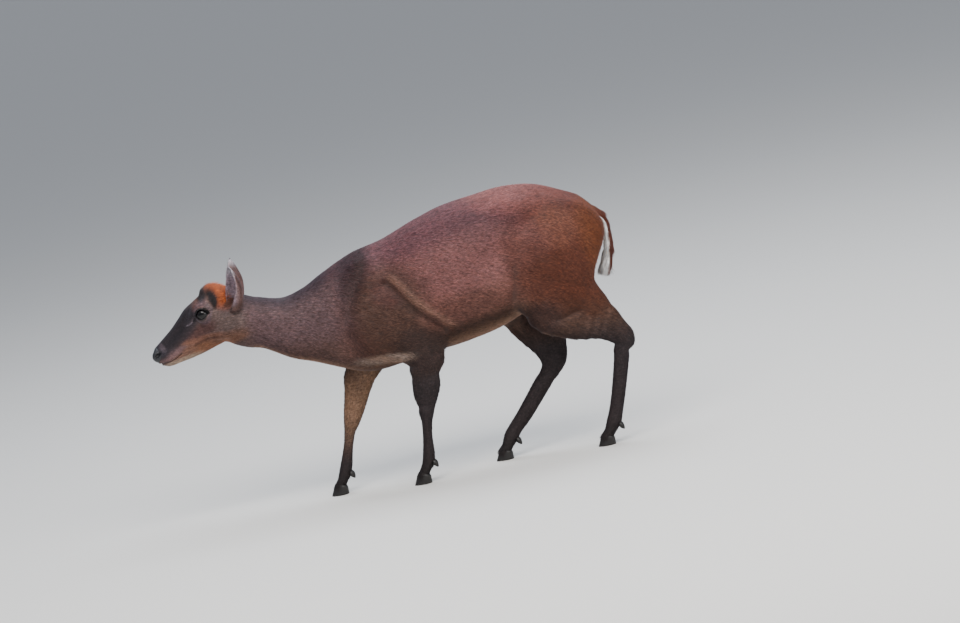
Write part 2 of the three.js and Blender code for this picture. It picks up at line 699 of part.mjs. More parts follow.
function makeLeg(name) {
  const { side, chain } = legs[name];
  const ownHalf = (p) => GAP / 2 - p.y * side;
  for (const [piece] of legPieces[name]) {
    const [stations, sectors] = pieceStations(name, piece);
    const field = sharedWithTrunk.includes(piece) ? bodyDistance : (p) => legDistance(p, legs[name]);
    const kept = (p) => Math.max(field(p), ownHalf(p));
    const coat = piece === 'thigh' ? haunchCoat : legCoat;
    addPart(`${name}_${piece}`, skinRings(loft(stations, sectors, kept)), coat);
  }
  const coronet = legPieces[name].at(-1)[3].at(-1);
  makeHooves(name, coronet, side);
  makeDewclaws(name, chain, side);
}

// Hooves: two to a foot, with flat soles, a flat inner wall and a pointed toe

const hoof = { sole: 19, crown: 12.5, soleWide: 13, crownWide: 12.6, toeLead: 6.5, split: 0.8, rings: 5 };

function makeHooves(name, [x, out, z, slope], side) {
  for (const [claw, way] of [['inner', -1], ['outer', 1]]) {
    const rings = Array.from({ length: hoof.rings }, (_, i) => {
      const t = i / (hoof.rings - 1);
      const long = lerp(hoof.sole, hoof.crown, t ** 0.8);
      const wide = lerp(hoof.soleWide, hoof.crownWide, t);
      const middle = x - hoof.toeLead * (1 - t);
      return Array.from({ length: 14 }, (__, j) => {
        const angle = 2 * Math.PI * j / 14;
        const px = middle + long * Math.cos(angle);
        const taper = 1 + 0.24 * Math.cos(angle);
        const across = hoof.split + Math.max(wide * taper * Math.sin(angle), 0);
        const top = z + (px - x) * Math.tan(slope * DEG) - GAP / 2;
        return new Vector3(px, (out + way * across) * side, top * t);
      });
    });
    const [low, high] = [rings[0], rings.at(-1)];
    const centre = (ring) => ring.reduce((sum, q) => sum.add(q), new Vector3()).divideScalar(ring.length);
    addPart(`${name}_hoof_${claw}`, skinRings(rings, centre(low), centre(high)), hoofHorn);
  }
}

// Dewclaws: a small pair high behind each pastern

const dewclaw = { long: 9, thick: 5.5, apart: 8.5 };

function makeDewclaws(name, chain, side) {
  const [x, out, z, deep] = chain.at(-3);
  const shin = [`${name}_cannon`, `${name}_pastern`];
  for (const [claw, way] of [['inner', -1], ['outer', 1]]) {
    const bead = new THREE.SphereGeometry(1, 8, 6);
    bead.scale(dewclaw.thick, dewclaw.thick, dewclaw.long);
    bead.rotateY(-30 * DEG);
    bead.translate(x + deep - 2, (out + way * dewclaw.apart) * side, z - 12);
    addPart(`${name}_dewclaw_${claw}`, toGeometry(cutClear(toSolid(bead), shin, [[GAP, 0, 0]])), hoofHorn);
  }
}

// Tail: a flat core that hangs behind the rump, and the long hair that grows from it. The path
// gives x, z, the slope of the section, and the reach of the hair backwards and sideways.

const tailPath = [
  [452, 478, 100, 13, 15], [466, 472, 62, 14, 19], [476, 456, 30, 13, 22], [479, 434, 5, 12, 24],
  [480, 412, -6, 11.5, 24], [476, 388, -16, 11, 22], [468, 364, -26, 10, 17], [456, 342, -34, 6, 9],
];
const tail = {
  core: 0.5, rootEnd: 0.2, coreEnd: 0.86, rows: 5, around: 5, long: 66, wide: 18, thick: 4, sink: 3.5,
};
const coreReach = (share) => lerp(1, tail.core, clamp(share / tail.rootEnd, 0, 1));

function tailSection(share, reach, turn) {
  const rows = tailPath.map((row, i) => [i, ...row]);
  const [, x, z, slope, deep, wide] = readSections(rows, share * (tailPath.length - 1));
  const back = reach * deep * Math.cos(turn);
  const side = reach * wide * Math.sin(turn);
  return new Vector3(x + back * Math.cos(slope * DEG), side, z + back * Math.sin(slope * DEG));
}

function makeTail() {
  const rings = Array.from({ length: 9 }, (_, i) => {
    const share = tail.coreEnd * i / 8;
    const turns = Array.from({ length: 12 }, (__, j) => 2 * Math.PI * j / 12);
    return turns.map((turn) => tailSection(share, coreReach(share), turn));
  });
  let whole = toSolid(skinRings(rings));
  for (let row = 0; row < tail.rows; row++) {
    const share = lerp(0.06, tail.coreEnd - 0.02, row / (tail.rows - 1));
    for (let i = 0; i < tail.around; i++) {
      const turn = 2 * Math.PI * (i + (row % 2) / 2) / tail.around;
      whole = whole.add(tailLock(share, turn, row * 10 + i));
    }
  }
  const carriers = ['torso', 'hind_left_thigh', 'hind_right_thigh'];
  addPart('tail', toGeometry(cutClear(whole, carriers, [[GAP, 0, 0], [0, 0, GAP]])), tailCoat);
}

function tailLock(share, turn, seed) {
  const root = tailSection(share, coreReach(share), turn);
  const middle = tailSection(share, 0, turn);
  const rise = root.clone().sub(middle).normalize();
  const end = Math.min(share + 0.36, 1);
  const tip = tailSection(end, share > 0.6 ? 0.45 : 0.95, turn);
  const lie = tip.sub(root);
  const long = Math.min(lie.length(), tail.long) * jitter(seed, 0.1);
  lie.normalize();
  rise.addScaledVector(lie, -rise.dot(lie)).normalize();
  return makeLock({ root, rise, lie, long, wide: tail.wide * jitter(seed + 50, 0.12),
    thick: tail.thick, sink: tail.sink, stand: 0.16 });
}

// Ears: a cup on each side, its opening forward and a little outward

const earOpen = 28; // degrees outward
const earLean = 20; // degrees outward from upright
const earBack = 4; // degrees back from upright
const earRows = [
  // share of the length, half width, depth of the back, half angle of the wall, wall
  [0, 11, 13, 150, 6.5],
  [0.1, 14, 18, 136, 4.5],
  [0.22, 17.5, 21, 116, 3.4],
  [0.4, 21, 22.5, 100, 2.9],
  [0.58, 21.5, 21, 88, 2.6],
  [0.76, 18, 14.5, 82, 2.2],
  [0.9, 12, 8, 78, 1.8],
  [1, 2.6, 1.6, 70, 1.1],
];

function makeEar(label, side) {
  const sections = Array.from({ length: 11 }, (_, i) => {
    const share = i / 10;
    const [, half, depth, wrap, wall] = readSections(earRows, share);
    const arc = (inset) => Array.from({ length: 11 }, (__, j) => {
      const angle = (j / 5 - 1) * wrap * DEG;
      const across = (half - inset) * Math.sin(angle);
      const back = (depth - inset) * Math.cos(angle) - inset * 0.4;
      return placeInEar(across, back, share * ear.length, side);
    });
    const section = [...arc(0), ...arc(wall).reverse()];
    return side === LEFT ? section.reverse() : section;
  });
  const cup = toSolid(new LoftGeometry(sections, { capStart: true, capEnd: true }));
  const apart = [[0, 0, GAP], [0, side * GAP, 0], [GAP, 0, 0]];
  addPart(`ear_${label}`, toGeometry(cutClear(cup, ['head', 'neck'], apart)), earCoat);
}

function placeInEar(across, back, up, side) {
  const point = new Vector3(back, -across, up);
  point.applyAxisAngle(new Vector3(0, 0, 1), earOpen * DEG);
  point.applyAxisAngle(new Vector3(0, 1, 0), earBack * DEG);
  point.applyAxisAngle(new Vector3(1, 0, 0), earLean * DEG);
  return new Vector3(ear.baseX + point.x, side * (ear.out - point.y), ear.baseZ + point.z - 8);
}

makeTorso();
makeNeck();
makeHead();
for (const name of Object.keys(legs)) makeLeg(name);
makeTail();
for (const [label, side] of SIDES) makeEar(label, side);

// The middle of her box goes over the origin

const box = new THREE.Box3().setFromObject(muntjac);
muntjac.position.set(-(box.min.x + box.max.x) / 2, -(box.min.y + box.max.y) / 2, -box.min.z);
muntjac.updateMatrixWorld(true);

export default muntjac;
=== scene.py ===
import math

import bmesh
import bpy
import numpy as np
from mathutils import Matrix, Vector


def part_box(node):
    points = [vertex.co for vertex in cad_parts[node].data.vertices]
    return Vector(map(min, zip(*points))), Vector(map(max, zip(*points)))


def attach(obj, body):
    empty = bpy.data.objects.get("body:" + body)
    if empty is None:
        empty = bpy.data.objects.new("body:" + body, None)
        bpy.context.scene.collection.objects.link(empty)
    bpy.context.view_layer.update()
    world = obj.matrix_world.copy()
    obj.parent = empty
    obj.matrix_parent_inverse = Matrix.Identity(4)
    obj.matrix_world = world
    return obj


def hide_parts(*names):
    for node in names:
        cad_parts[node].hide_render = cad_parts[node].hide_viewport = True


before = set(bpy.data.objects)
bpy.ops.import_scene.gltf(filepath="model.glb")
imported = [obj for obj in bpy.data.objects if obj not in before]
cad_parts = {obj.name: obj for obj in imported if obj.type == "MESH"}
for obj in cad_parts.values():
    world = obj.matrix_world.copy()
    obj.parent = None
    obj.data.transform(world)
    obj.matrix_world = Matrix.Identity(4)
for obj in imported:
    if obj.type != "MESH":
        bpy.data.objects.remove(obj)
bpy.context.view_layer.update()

# The muntjac doe in her coat: one skin, tufts of hair that follow its lie, eyes, nose and hooves.
# Shapes are worked out in millimetres, in the frame in which the solids were drawn: her head is
# towards -X, her left side towards -Y, and the floor is z = 0.

MM = 0.001
DEG = math.pi / 180
LEFT = -1
RIGHT = 1
SIDES = (("left", LEFT), ("right", RIGHT))

# Camera: from her left side, a little above her, with the frame tilted

PICTURE_WIDE = 1.9776  # metres across at her middle
CAMERA_AIM = Vector((0.1866, 0, 0.321))
CAMERA_AWAY = 9.0
LOOK_DOWN = 8 * DEG
TILT = 12 * DEG


def add_object(name, data):
    thing = bpy.data.objects.new(name, data)
    bpy.context.collection.objects.link(thing)
    return thing


def make_camera():
    forward = Vector((0, math.cos(LOOK_DOWN), -math.sin(LOOK_DOWN)))
    level_up = Vector((0, math.sin(LOOK_DOWN), math.cos(LOOK_DOWN)))
    level_right = Vector((1, 0, 0))
    right = level_right * math.cos(TILT) - level_up * math.sin(TILT)
    up = level_right * math.sin(TILT) + level_up * math.cos(TILT)
    data = bpy.data.cameras.new("camera")
    data.angle = 2 * math.atan(PICTURE_WIDE / 2 / CAMERA_AWAY)
    data.clip_end = 300
    camera = add_object("camera", data)
    turn = Matrix((right, up, -forward)).transposed().to_4x4()
    camera.matrix_world = Matrix.Translation(CAMERA_AIM - forward * CAMERA_AWAY) @ turn
    bpy.context.scene.camera = camera


make_camera()

# Shader maths: a value wraps a socket, and a finish makes the nodes of one material


class Value:
    """A socket of a material's nodes, so that maths on it reads as plain expressions."""

    def __init__(self, finish, socket):
        self.finish = finish
        self.socket = socket

    def math(self, operation, *others):
        links = dict(enumerate((self, *others)))
        return self.finish.node("ShaderNodeMath", {"operation": operation}, links)

    def __add__(self, other):
        return self.math("ADD", other)

    __radd__ = __add__

    def __mul__(self, other):
        return self.math("MULTIPLY", other)

    __rmul__ = __mul__

    def __sub__(self, other):
        return self.math("SUBTRACT", other)

    def __rsub__(self, other):
        return self.finish.node("ShaderNodeMath", {"operation": "SUBTRACT"}, {0: other, 1: self})

    def __truediv__(self, other):
        return self.math("DIVIDE", other)

    def __pow__(self, other):
        return self.math("POWER", other)

    def part(self, axis):
        """One of the three numbers of a vector."""
        return self.finish.node("ShaderNodeSeparateXYZ", None, {0: self}, out=axis)


class Finish:
    """One material: its shader, with numbers that are the same all over, and its other nodes."""

    def __init__(self, name, **same_all_over):
        self.material = bpy.data.materials.new(name)
        self.material.use_nodes = True
        self.tree = self.material.node_tree
        self.shader = self.tree.nodes["Principled BSDF"]
        for socket, value in same_all_over.items():
            self.shader.inputs[socket.replace("_", " ")].default_value = value

    def feed(self, socket, value):
        if isinstance(value, Value):
            self.tree.links.new(value.socket, socket)
        else:
            socket.default_value = value

    def node(self, kind, settings=None, links=None, out=0):
        node = self.tree.nodes.new(kind)
        for key, value in (settings or {}).items():
            if key == "stops":
                self.set_stops(node.color_ramp, value)
            else:
                setattr(node, key, value)
        for key, value in (links or {}).items():
            self.feed(node.inputs[key], value)
        return Value(self, node.outputs[out])

    @staticmethod
    def set_stops(ramp, stops):
        while len(ramp.elements) < len(stops):
            ramp.elements.new(0.5)
        for element, (place, colour) in zip(ramp.elements, stops):
            element.position = place
            element.color = colour

    def mix(self, factor, low, high, blend="MIX"):
        settings = {"data_type": "RGBA", "blend_type": blend}
        return self.node("ShaderNodeMix", settings, {0: factor, 6: low, 7: high}, out=2)

    def place(self, stretch=(1, 1, 1)):
        """The place on the piece at rest, in metres times the stretch."""
        at = self.node("ShaderNodeTexCoord", out=3)
        return self.node("ShaderNodeVectorMath", {"operation": "MULTIPLY"}, {0: at, 1: stretch})

    def noise(self, at, scale, detail=2.0):
        return self.node("ShaderNodeTexNoise", None, {"Vector": at, "Scale": scale, "Detail": detail})

    def ramp(self, value, low, high):
        """Rises from black at low to white at high."""
        stops = [(low, (0, 0, 0, 1)), (high, (1, 1, 1, 1))]
        return self.node("ShaderNodeValToRGB", {"stops": stops}, {0: value})

    def attribute(self, name, out=0):
        return self.node("ShaderNodeAttribute", {"attribute_name": name}, out=out)

    def bump(self, height, strength, depth):
        links = {"Height": height, "Strength": strength, "Distance": depth}
        return self.node("ShaderNodeBump", None, links)

    def set(self, socket, value):
        self.feed(self.shader.inputs[socket], value)


def shade(code):
    """A colour from its web code, as three linear numbers."""
    part = np.array([int(code[i:i + 2], 16) for i in (0, 2, 4)]) / 255
    return np.where(part <= 0.04045, part / 12.92, ((part + 0.055) / 1.055) ** 2.4)


def colour(code):
    return (*shade(code), 1.0)


# Studio: a pale floor that runs out of sight, and soft light from above and the front

FLOOR_REACH = 60.0
FLOOR_COLOUR = "d6d4d0"
SKY_LIGHT = (0.80, 0.87, 1.0, 1.0)
SKY_STRENGTH = 0.5
LAMP_AIM = Vector((0, 0, 0.3))
SOFTBOXES = [
    # name, place, size, power and tint
    ("key", (0.3, -2.5, 3.3), (3.8, 2.2), 225, (1.0, 0.97, 0.93)),
    ("sky", (0.4, 1.0, 3.6), (3.2, 2.4), 130, (0.86, 0.92, 1.0)),
    ("fill", (2.6, -2.0, 1.4), (1.8, 1.8), 30, (1.0, 0.98, 0.96)),
]


def make_studio():
    mesh = bpy.data.meshes.new("floor")
    corners = [(x * FLOOR_REACH, y * FLOOR_REACH, 0) for x, y in ((-1, -1), (1, -1), (1, 1), (-1, 1))]
    mesh.from_pydata(corners, [], [(0, 1, 2, 3)])
    floor = add_object("floor", mesh)
    finish = Finish("pale_floor", Roughness=0.9, Base_Color=colour(FLOOR_COLOUR))
    mesh.materials.append(finish.material)
    world = bpy.data.worlds.new("studio")
    bpy.context.scene.world = world
    world.use_nodes = True
    background = world.node_tree.nodes["Background"]
    background.inputs["Color"].default_value = SKY_LIGHT
    background.inputs["Strength"].default_value = SKY_STRENGTH


def add_softbox(name, place, size, power, tint):
    data = bpy.data.lights.new(name, "AREA")
    data.shape = "RECTANGLE"
    data.size, data.size_y = size
    data.energy = power
    data.color = tint
    lamp = add_object(name, data)
    lamp.location = place
    lamp.rotation_euler = (LAMP_AIM - Vector(place)).to_track_quat("-Z", "Y").to_euler()


make_studio()
for softbox in SOFTBOXES:
    add_softbox(*softbox)

# Plain maths on many points at once


def unit(vectors):
    return vectors / np.maximum(np.linalg.norm(vectors, axis=-1, keepdims=True), 1e-9)


def ease(value, low, high):
    """Rises smoothly from 0 at low to 1 at high."""
    t = np.clip((value - low) / (high - low), 0, 1)
    return t * t * (3 - 2 * t)


def fade(value, low, high):
    """Falls smoothly from 1 at low to 0 at high."""
    return 1 - ease(value, low, high)


def blend(a, b, share):
    return a + (b - a) * share


def bell(value, wide):
    """1 at 0, falling smoothly to nothing at about twice the width."""
    return np.exp(-(value / wide) ** 2)


def turned(x, z, angle):
    """Places in the side view, along and up from a line at an angle."""
    cos, sin = math.cos(angle), math.sin(angle)
    return x * cos + z * sin, z * cos - x * sin


def dot(a, b):
    return np.sum(a * b, axis=-1, keepdims=True)


def read_rows(rows, place):
    """Reads a table of sizes at many places, on a smooth curve through its rows."""
    last = len(rows) - 1
    i = np.clip(np.searchsorted(rows[:, 0], place), 1, last)
    a, b = rows[i - 1], rows[i]
    before, after = rows[np.maximum(i - 2, 0)], rows[np.minimum(i + 1, last)]
    span = b[:, :1] - a[:, :1]
    t = np.clip((place[:, None] - a[:, :1]) / span, 0, 1)
    leave = span * (b - before) / (b[:, :1] - before[:, :1])
    arrive = span * (after - a) / (after[:, :1] - a[:, :1])
    bend = 3 * (b - a) - 2 * leave - arrive
    settle = leave + arrive - 2 * (b - a)
    return a + t * (leave + t * (bend + t * settle))


def join(a, b, soft):
    """Two fields as one, with a smooth fillet where they meet."""
    near = np.maximum(soft - np.abs(a - b), 0) / soft
    return np.minimum(a, b) - near * near * soft / 4


def carve(a, b, soft):
    """A field with another one cut out of it."""
    return -join(-a, b, soft)


def line_distance(x, z, line):
    """The way in the side view from points to a line of (x, z) points."""
    nearest = np.full(len(x), np.inf)
    for (ax, az), (bx, bz) in zip(line, line[1:]):
        long = (bx - ax) ** 2 + (bz - az) ** 2
        t = np.clip(((x - ax) * (bx - ax) + (z - az) * (bz - az)) / long, 0, 1)
        nearest = np.minimum(nearest, np.hypot(x - blend(ax, bx, t), z - blend(az, bz, t)))
    return nearest


# Sizes of her body, as in the source of the solids: sections of the trunk and the head give the
# place along, top, bottom, half width, lean of the widest level and fullness

TRUNK = {"x": 0, "z": 0, "pitch": 0, "start_round": 40, "end_round": 56, "rows": np.array([
    [-356, 462, 392, 26, 0.0, 2.0],
    [-324, 468, 364, 31, 0.0, 2.0],
    [-297, 466, 350, 34, 0.0, 2.0],
    [-262, 452, 339, 37, 0.0, 2.1],
    [-208, 438, 306, 42, -0.04, 2.1],
    [-164, 446, 288, 49, -0.06, 2.1],
    [-117, 468, 267, 58, -0.05, 2.1],
    [-80, 485, 252, 65, -0.04, 2.1],
    [-43, 499, 245, 72, -0.04, 2.1],
    [20, 513, 250, 84, -0.08, 2.1],
    [90, 537, 259, 97, -0.12, 2.2],
    [150, 554, 266, 103, -0.13, 2.2],
    [219, 563, 279, 102, -0.1, 2.2],
    [283, 568, 302, 92, -0.06, 2.1],
    [345, 560, 334, 80, 0.0, 2.1],
    [402, 536, 366, 66, 0.0, 2.0],
    [450, 510, 394, 52, 0.0, 2.0],
    [476, 494, 404, 46, 0.0, 2.0],
])}
HEAD = {"x": -482, "z": 370, "pitch": 27, "start_round": 15, "end_round": 40, "rows": np.array([
    [-6, 11, -24, 14, 0.0, 2.2],
    [12, 16, -36, 17, -0.02, 2.2],
    [33, 20, -43, 19, 0.0, 2.2],
    [58, 25, -51, 22, 0.04, 2.1],
    [82, 32, -57, 26, 0.12, 2.1],
    [104, 39, -61, 31, 0.2, 2.1],
    [126, 41, -65, 36, 0.26, 2.2],
    [150, 42, -68, 37, 0.24, 2.2],
    [175, 40, -66, 35, 0.16, 2.1],
    [200, 30, -58, 31, 0.05, 2.0],
])}

# Legs as chains of joints and waists: x, distance from the middle, z, half depth, half width

LEGS = {
    "fore_left": {"side": LEFT, "chain": np.array([
        [-22, 34, 436, 26, 15], [-42, 56, 352, 44, 24], [56, 54, 274, 37, 22], [53, 50, 235, 31, 19],
        [50, 47, 206, 30, 17], [45, 45, 184, 26, 15], [42, 43, 163, 19, 13], [38, 42, 146, 16, 14.5],
        [35, 41, 127, 12, 11.5], [30, 40, 96, 10.5, 9.8], [23, 39, 50, 13.5, 12.5],
        [12, 39, 30, 11, 12.5], [4, 39, 16, 12, 13]])},
    "fore_right": {"side": RIGHT, "chain": np.array([
        [-26, 34, 436, 26, 15], [-76, 56, 346, 42, 24], [-72, 54, 276, 38, 22], [-84, 50, 236, 34, 19],
        [-92, 47, 214, 29, 17], [-101, 45, 190, 25, 15], [-111, 43, 165, 21, 13.5],
        [-119, 42, 146, 17, 14.5], [-127, 41, 127, 12.5, 11.5], [-137, 40, 96, 10.5, 9.8],
        [-152, 39, 50, 13.5, 12.5], [-163, 39, 30, 11, 12.5], [-171, 39, 16, 12, 13]])},
    "hind_left": {"side": LEFT, "heel": ((474, 45, 216), (14, 11, 24), 8, 10), "chain": np.array([
        [376, 44, 440, 84, 40], [340, 55, 350, 74, 40], [318, 58, 290, 34, 28], [372, 54, 262, 33, 25],
        [424, 49, 240, 22, 18], [460, 45, 214, 19, 15], [457, 43, 190, 17, 13.5],
        [450, 42, 160, 16, 12.5], [433, 41, 103, 15, 11.5], [420, 41, 66, 15, 11.5],
        [412, 41, 47, 15.5, 13.5], [400, 41, 29, 12, 13], [391, 41, 16, 13, 13.5]])},
    "hind_right": {"side": RIGHT, "heel": ((322, 45, 176), (13, 11, 30), -30, 12), "chain": np.array([
        [376, 44, 440, 84, 40], [300, 55, 368, 70, 40], [252, 58, 312, 36, 28], [276, 54, 262, 33, 24],
        [302, 48, 215, 24, 17], [312, 45, 184, 22, 15], [301, 43, 160, 18, 13.5],
        [280, 42, 136, 18, 12.5], [237, 41, 87, 16.5, 11.5], [212, 41, 62, 15, 11.5],
        [199, 41, 46, 15.5, 13.5], [187, 41, 29, 12, 13], [178, 41, 16, 13, 13.5]])},
}

# Muscles, bones and hollows: centre, radii, pitch of the long axis and softness

PAIRED_FORMS = [
    ((-44, 40, 418), (36, 22, 62), -12, 34),  # shoulder blade
    ((296, 54, 516), (44, 20, 22), -6, 34),  # point of the hip
    ((430, 32, 446), (36, 22, 40), 20, 26),  # point of the rump
]
SIDE_FORMS = {
    LEFT: [
        ((8, 66, 352), (58, 26, 66), -28, 22),  # triceps
        ((-56, 56, 330), (34, 24, 42), 20, 24),  # point of the shoulder
        ((362, 60, 412), (84, 36, 78), 35, 30),  # haunch
        ((400, 52, 330), (33, 27, 58), 22, 24),  # back of the thigh
        ((434, 50, 284), (23, 19, 80), 28, 24),  # calf
        ((56, 52, 262), (30, 18, 26), -20, 14),  # elbow
    ],
    RIGHT: [
        ((-14, 66, 350), (56, 26, 66), -34, 22),
        ((-88, 55, 326), (32, 23, 42), 14, 24),
        ((344, 60, 414), (92, 36, 72), 42, 30),
        ((334, 52, 318), (34, 27, 56), 8, 24),
        ((328, 50, 258), (24, 18, 78), 3, 24),
        ((-58, 52, 262), (28, 18, 26), -20, 14),
    ],
}
BODY_HOLLOWS = [
    ((252, 112, 440), (44, 18, 60), -24, 30),  # flank
    ((-118, 74, 300), (40, 20, 70), 14, 26),  # in front of the shoulder
]
FACE_FORMS = [
    ((134, 28, 18), (26, 15, 18), 0, 8),  # rim of the eye socket
    ((150, 26, -30), (34, 13, 28), 20, 14),  # cheek
    ((92, 19, -22), (44, 9, 13), 6, 12),  # ridge of the cheek bone
    ((4, 9, -2), (13, 7.5, 12), 0, 7),  # wing of the nose
    ((26, 12, -14), (24, 8, 11), 0, 9),  # upper lip
]
FACE_HOLLOWS = [
    ((103, 36, 12), (20, 9, 12), 0, 8),  # in front of the eye
]
SHIN_LEVEL = 150
TAIL_CORE = np.array([
    [452, 0, 478, 13, 15], [466, 0, 472, 9, 12], [476, 0, 456, 6.5, 11], [479, 0, 434, 6, 12],
    [480, 0, 412, 5.8, 12], [476, 0, 388, 5.5, 11], [468, 0, 364, 5, 8.5]])

# The body as a field: a rough distance to the surface of the solids, negative inside

CORE = 0.05  # the share of a form's size round its middle in which the field is level
CHAIN_SOFT = 0.3
LEG_SOFT = 30
NECK_SOFT = 20


def to_frame(p, form):
    return turned(p[:, 0] - form["x"], p[:, 2] - form["z"], form["pitch"] * DEG)


def from_frame(along, up, form):
    x, z = turned(along, up, -form["pitch"] * DEG)
    return form["x"] + x, form["z"] + z


def section_distance(p, form):
    along, up = to_frame(p, form)
    rows = form["rows"]
    _, top, bottom, half, lean, full = read_rows(rows, along).T
    height = (top - bottom) / 2
    rise = up - (top + bottom) / 2
    tall = rise / height
    wide = p[:, 1] / (half * (1 + lean * np.clip(tall, -1, 1)))
    start_past = np.maximum(rows[0, 0] + form["start_round"] - along, 0)
    end_past = np.maximum(along - rows[-1, 0] + form["end_round"], 0)
    past = np.maximum(start_past / form["start_round"], end_past / form["end_round"])
    r = (np.abs(wide) ** full + np.abs(tall) ** full + past ** full) ** (1 / full)
    reach = np.sqrt(p[:, 1] ** 2 + rise ** 2 + np.maximum(start_past, end_past) ** 2)
    return np.where(r < CORE, -0.95 * np.minimum(height, half), reach * (1 - 1 / np.maximum(r, CORE)))


def oval_distance(x, y, z, oval):
    (cx, cy, cz), radii, pitch = oval[:3]
    dx, dy, dz = x - cx, y - cy, z - cz
    along, up = turned(dx, dz, pitch * DEG)
    r = np.sqrt((along / radii[0]) ** 2 + (dy / radii[1]) ** 2 + (up / radii[2]) ** 2)
    reach = np.sqrt(dx ** 2 + dy ** 2 + dz ** 2)
    return np.where(r < CORE, -min(radii), reach * (1 - 1 / np.maximum(r, CORE)))


def bone_distance(x, y, z, a, b):
    bx, by, bz = b[:3] - a[:3]
    long = bx * bx + by * by + bz * bz
    t = np.clip(((x - a[0]) * bx + (y - a[1]) * by + (z - a[2]) * bz) / long, 0, 1)
    dx, dy, dz = x - a[0] - bx * t, y - a[1] - by * t, z - a[2] - bz * t
    deep, wide = blend(a[3], b[3], t), blend(a[4], b[4], t)
    flat = np.sqrt(dx ** 2 + dz ** 2)
    r = np.hypot(flat / deep, dy / wide)
    outside = np.hypot(flat, dy) * (1 - 1 / np.maximum(r, CORE))
    return np.where(r < CORE, -np.minimum(deep, wide), outside)


def chain_distance(x, y, z, chain):
    d = bone_distance(x, y, z, chain[0], chain[1])
    for a, b in zip(chain[1:], chain[2:]):
        d = join(d, bone_distance(x, y, z, a, b), CHAIN_SOFT)
    return d


def smooth_chain(chain, parts=3):
    """The chain with more rows, on a smooth curve through its own."""
    rows = np.column_stack([np.arange(len(chain)), chain])
    return read_rows(rows, np.arange(0, len(chain) - 1 + 1e-6, 1 / parts))[:, 1:]


for leg_form in LEGS.values():
    leg_form["curve"] = smooth_chain(leg_form["chain"])

FAR = 60.0  # how near a leg must be to be worked out


def leg_distance(p, leg):
    chain = leg["chain"]
    reach = chain[:, 3] + FAR
    near = (p[:, 0] > (chain[:, 0] - reach).min()) & (p[:, 0] < (chain[:, 0] + reach).max())
    near &= p[:, 1] * leg["side"] > -FAR / 2
    d = np.full(len(p), FAR)
    x, y, z = p[near, 0], p[near, 1] * leg["side"], p[near, 2]
    limb = chain_distance(x, y, z, leg["curve"])
    if "heel" in leg:
        limb = join(limb, oval_distance(x, y, z, leg["heel"]), leg["heel"][3])
    d[near] = limb
    return d


def head_distance(p):
    along, up = to_frame(p, HEAD)
    out = np.abs(p[:, 1])
    d = section_distance(p, HEAD)
    for form in FACE_FORMS:
        d = join(d, oval_distance(along, out, up, form), form[3])
    for form in FACE_HOLLOWS:
        d = carve(d, oval_distance(along, out, up, form), form[3])
    return d


def upper_distance(p):
    x, y, z = p.T
    d = section_distance(p, TRUNK)
    for form in PAIRED_FORMS:
        d = join(d, oval_distance(x, np.abs(y), z, form), form[3])
    for side, forms in SIDE_FORMS.items():
        for form in forms:
            d = join(d, oval_distance(x, y * side, z, form), form[3])
    for leg in LEGS.values():
        d = join(d, leg_distance(p, leg), LEG_SOFT)
    for form in BODY_HOLLOWS:
        d = carve(d, oval_distance(x, np.abs(y), z, form), form[3])
    front = x < -120
    d[front] = join(d[front], head_distance(p[front]), NECK_SOFT)
    return d


def body_distance(p):
    d = np.empty(len(p))
    low = p[:, 2] < SHIN_LEVEL
    d[low] = np.min([leg_distance(p[low], leg) for leg in LEGS.values()], axis=0)
    d[~low] = upper_distance(p[~low])
    return d


# Eyes, lids, nose and mouth

EYE_AT = (133, 31, 10)  # along the head, out, up
EYE_RADIUS = 14.2
GAZE_FORWARD = 18 * DEG
GAZE_UP = 4 * DEG
LID_OVER = 2.0  # how far the lids stand over the eyeball
LID_TILT = 22 * DEG  # the corners' line against the head's own
LID_HALF_LONG = 13.6
LID_RISE = 10.6
LID_FALL = 9.4
LID_CREASE = (0.9, 5.5, 1.3)  # depth, place and half width of the crease above the upper lid

NOSE_BACK = 9.5  # how far the bare leather reaches along the head
NOSE_FOOT = (9.6, -3.6, 0.49, 0.872)  # along, up and slant of the leather's lower edge
NOSTRIL = ((5, 15.5, 0), (7, 5, 3.4), -3)
MOUTH = [(-496, 347), (-476, 353), (-454, 355), (-443, 358.5), (-429, 367)]
GLAND = [(-385, 438), (-389, 432), (-392, 426)]  # the slit in front of the eye
GLAND_FOLD = [(-389, 437), (-392, 430), (-396, 425), (-402, 422), (-409, 420)]  # its pouch's edge
JAW_FOLD = [(-398, 378), (-384, 383), (-368, 387), (-356, 388)]


def turn_matrix(axis, angle):
    return np.array(Matrix.Rotation(angle, 3, axis))


EYE_TURN = (turn_matrix("X", GAZE_UP) @ turn_matrix("Z", GAZE_FORWARD)
            @ turn_matrix("Y", -HEAD["pitch"] * DEG))


def eye_centre(side):
    x, z = from_frame(EYE_AT[0], EYE_AT[2], HEAD)
    return np.array([x, side * EYE_AT[1], z])


def in_eye(p, side):
    """Points in the eye's own frame: towards the back of the head, out along the gaze, and up."""
    return ((p - eye_centre(side)) * (1, side, 1)) @ EYE_TURN


def almond(local):
    """A rough distance to the opening of the lids, negative inside it."""
    u, v = turned(local[:, 0], local[:, 2], -LID_TILT)
    return 8 * (np.maximum(v / LID_RISE, -v / LID_FALL) + np.abs(u / LID_HALF_LONG) ** 2.4 - 1)


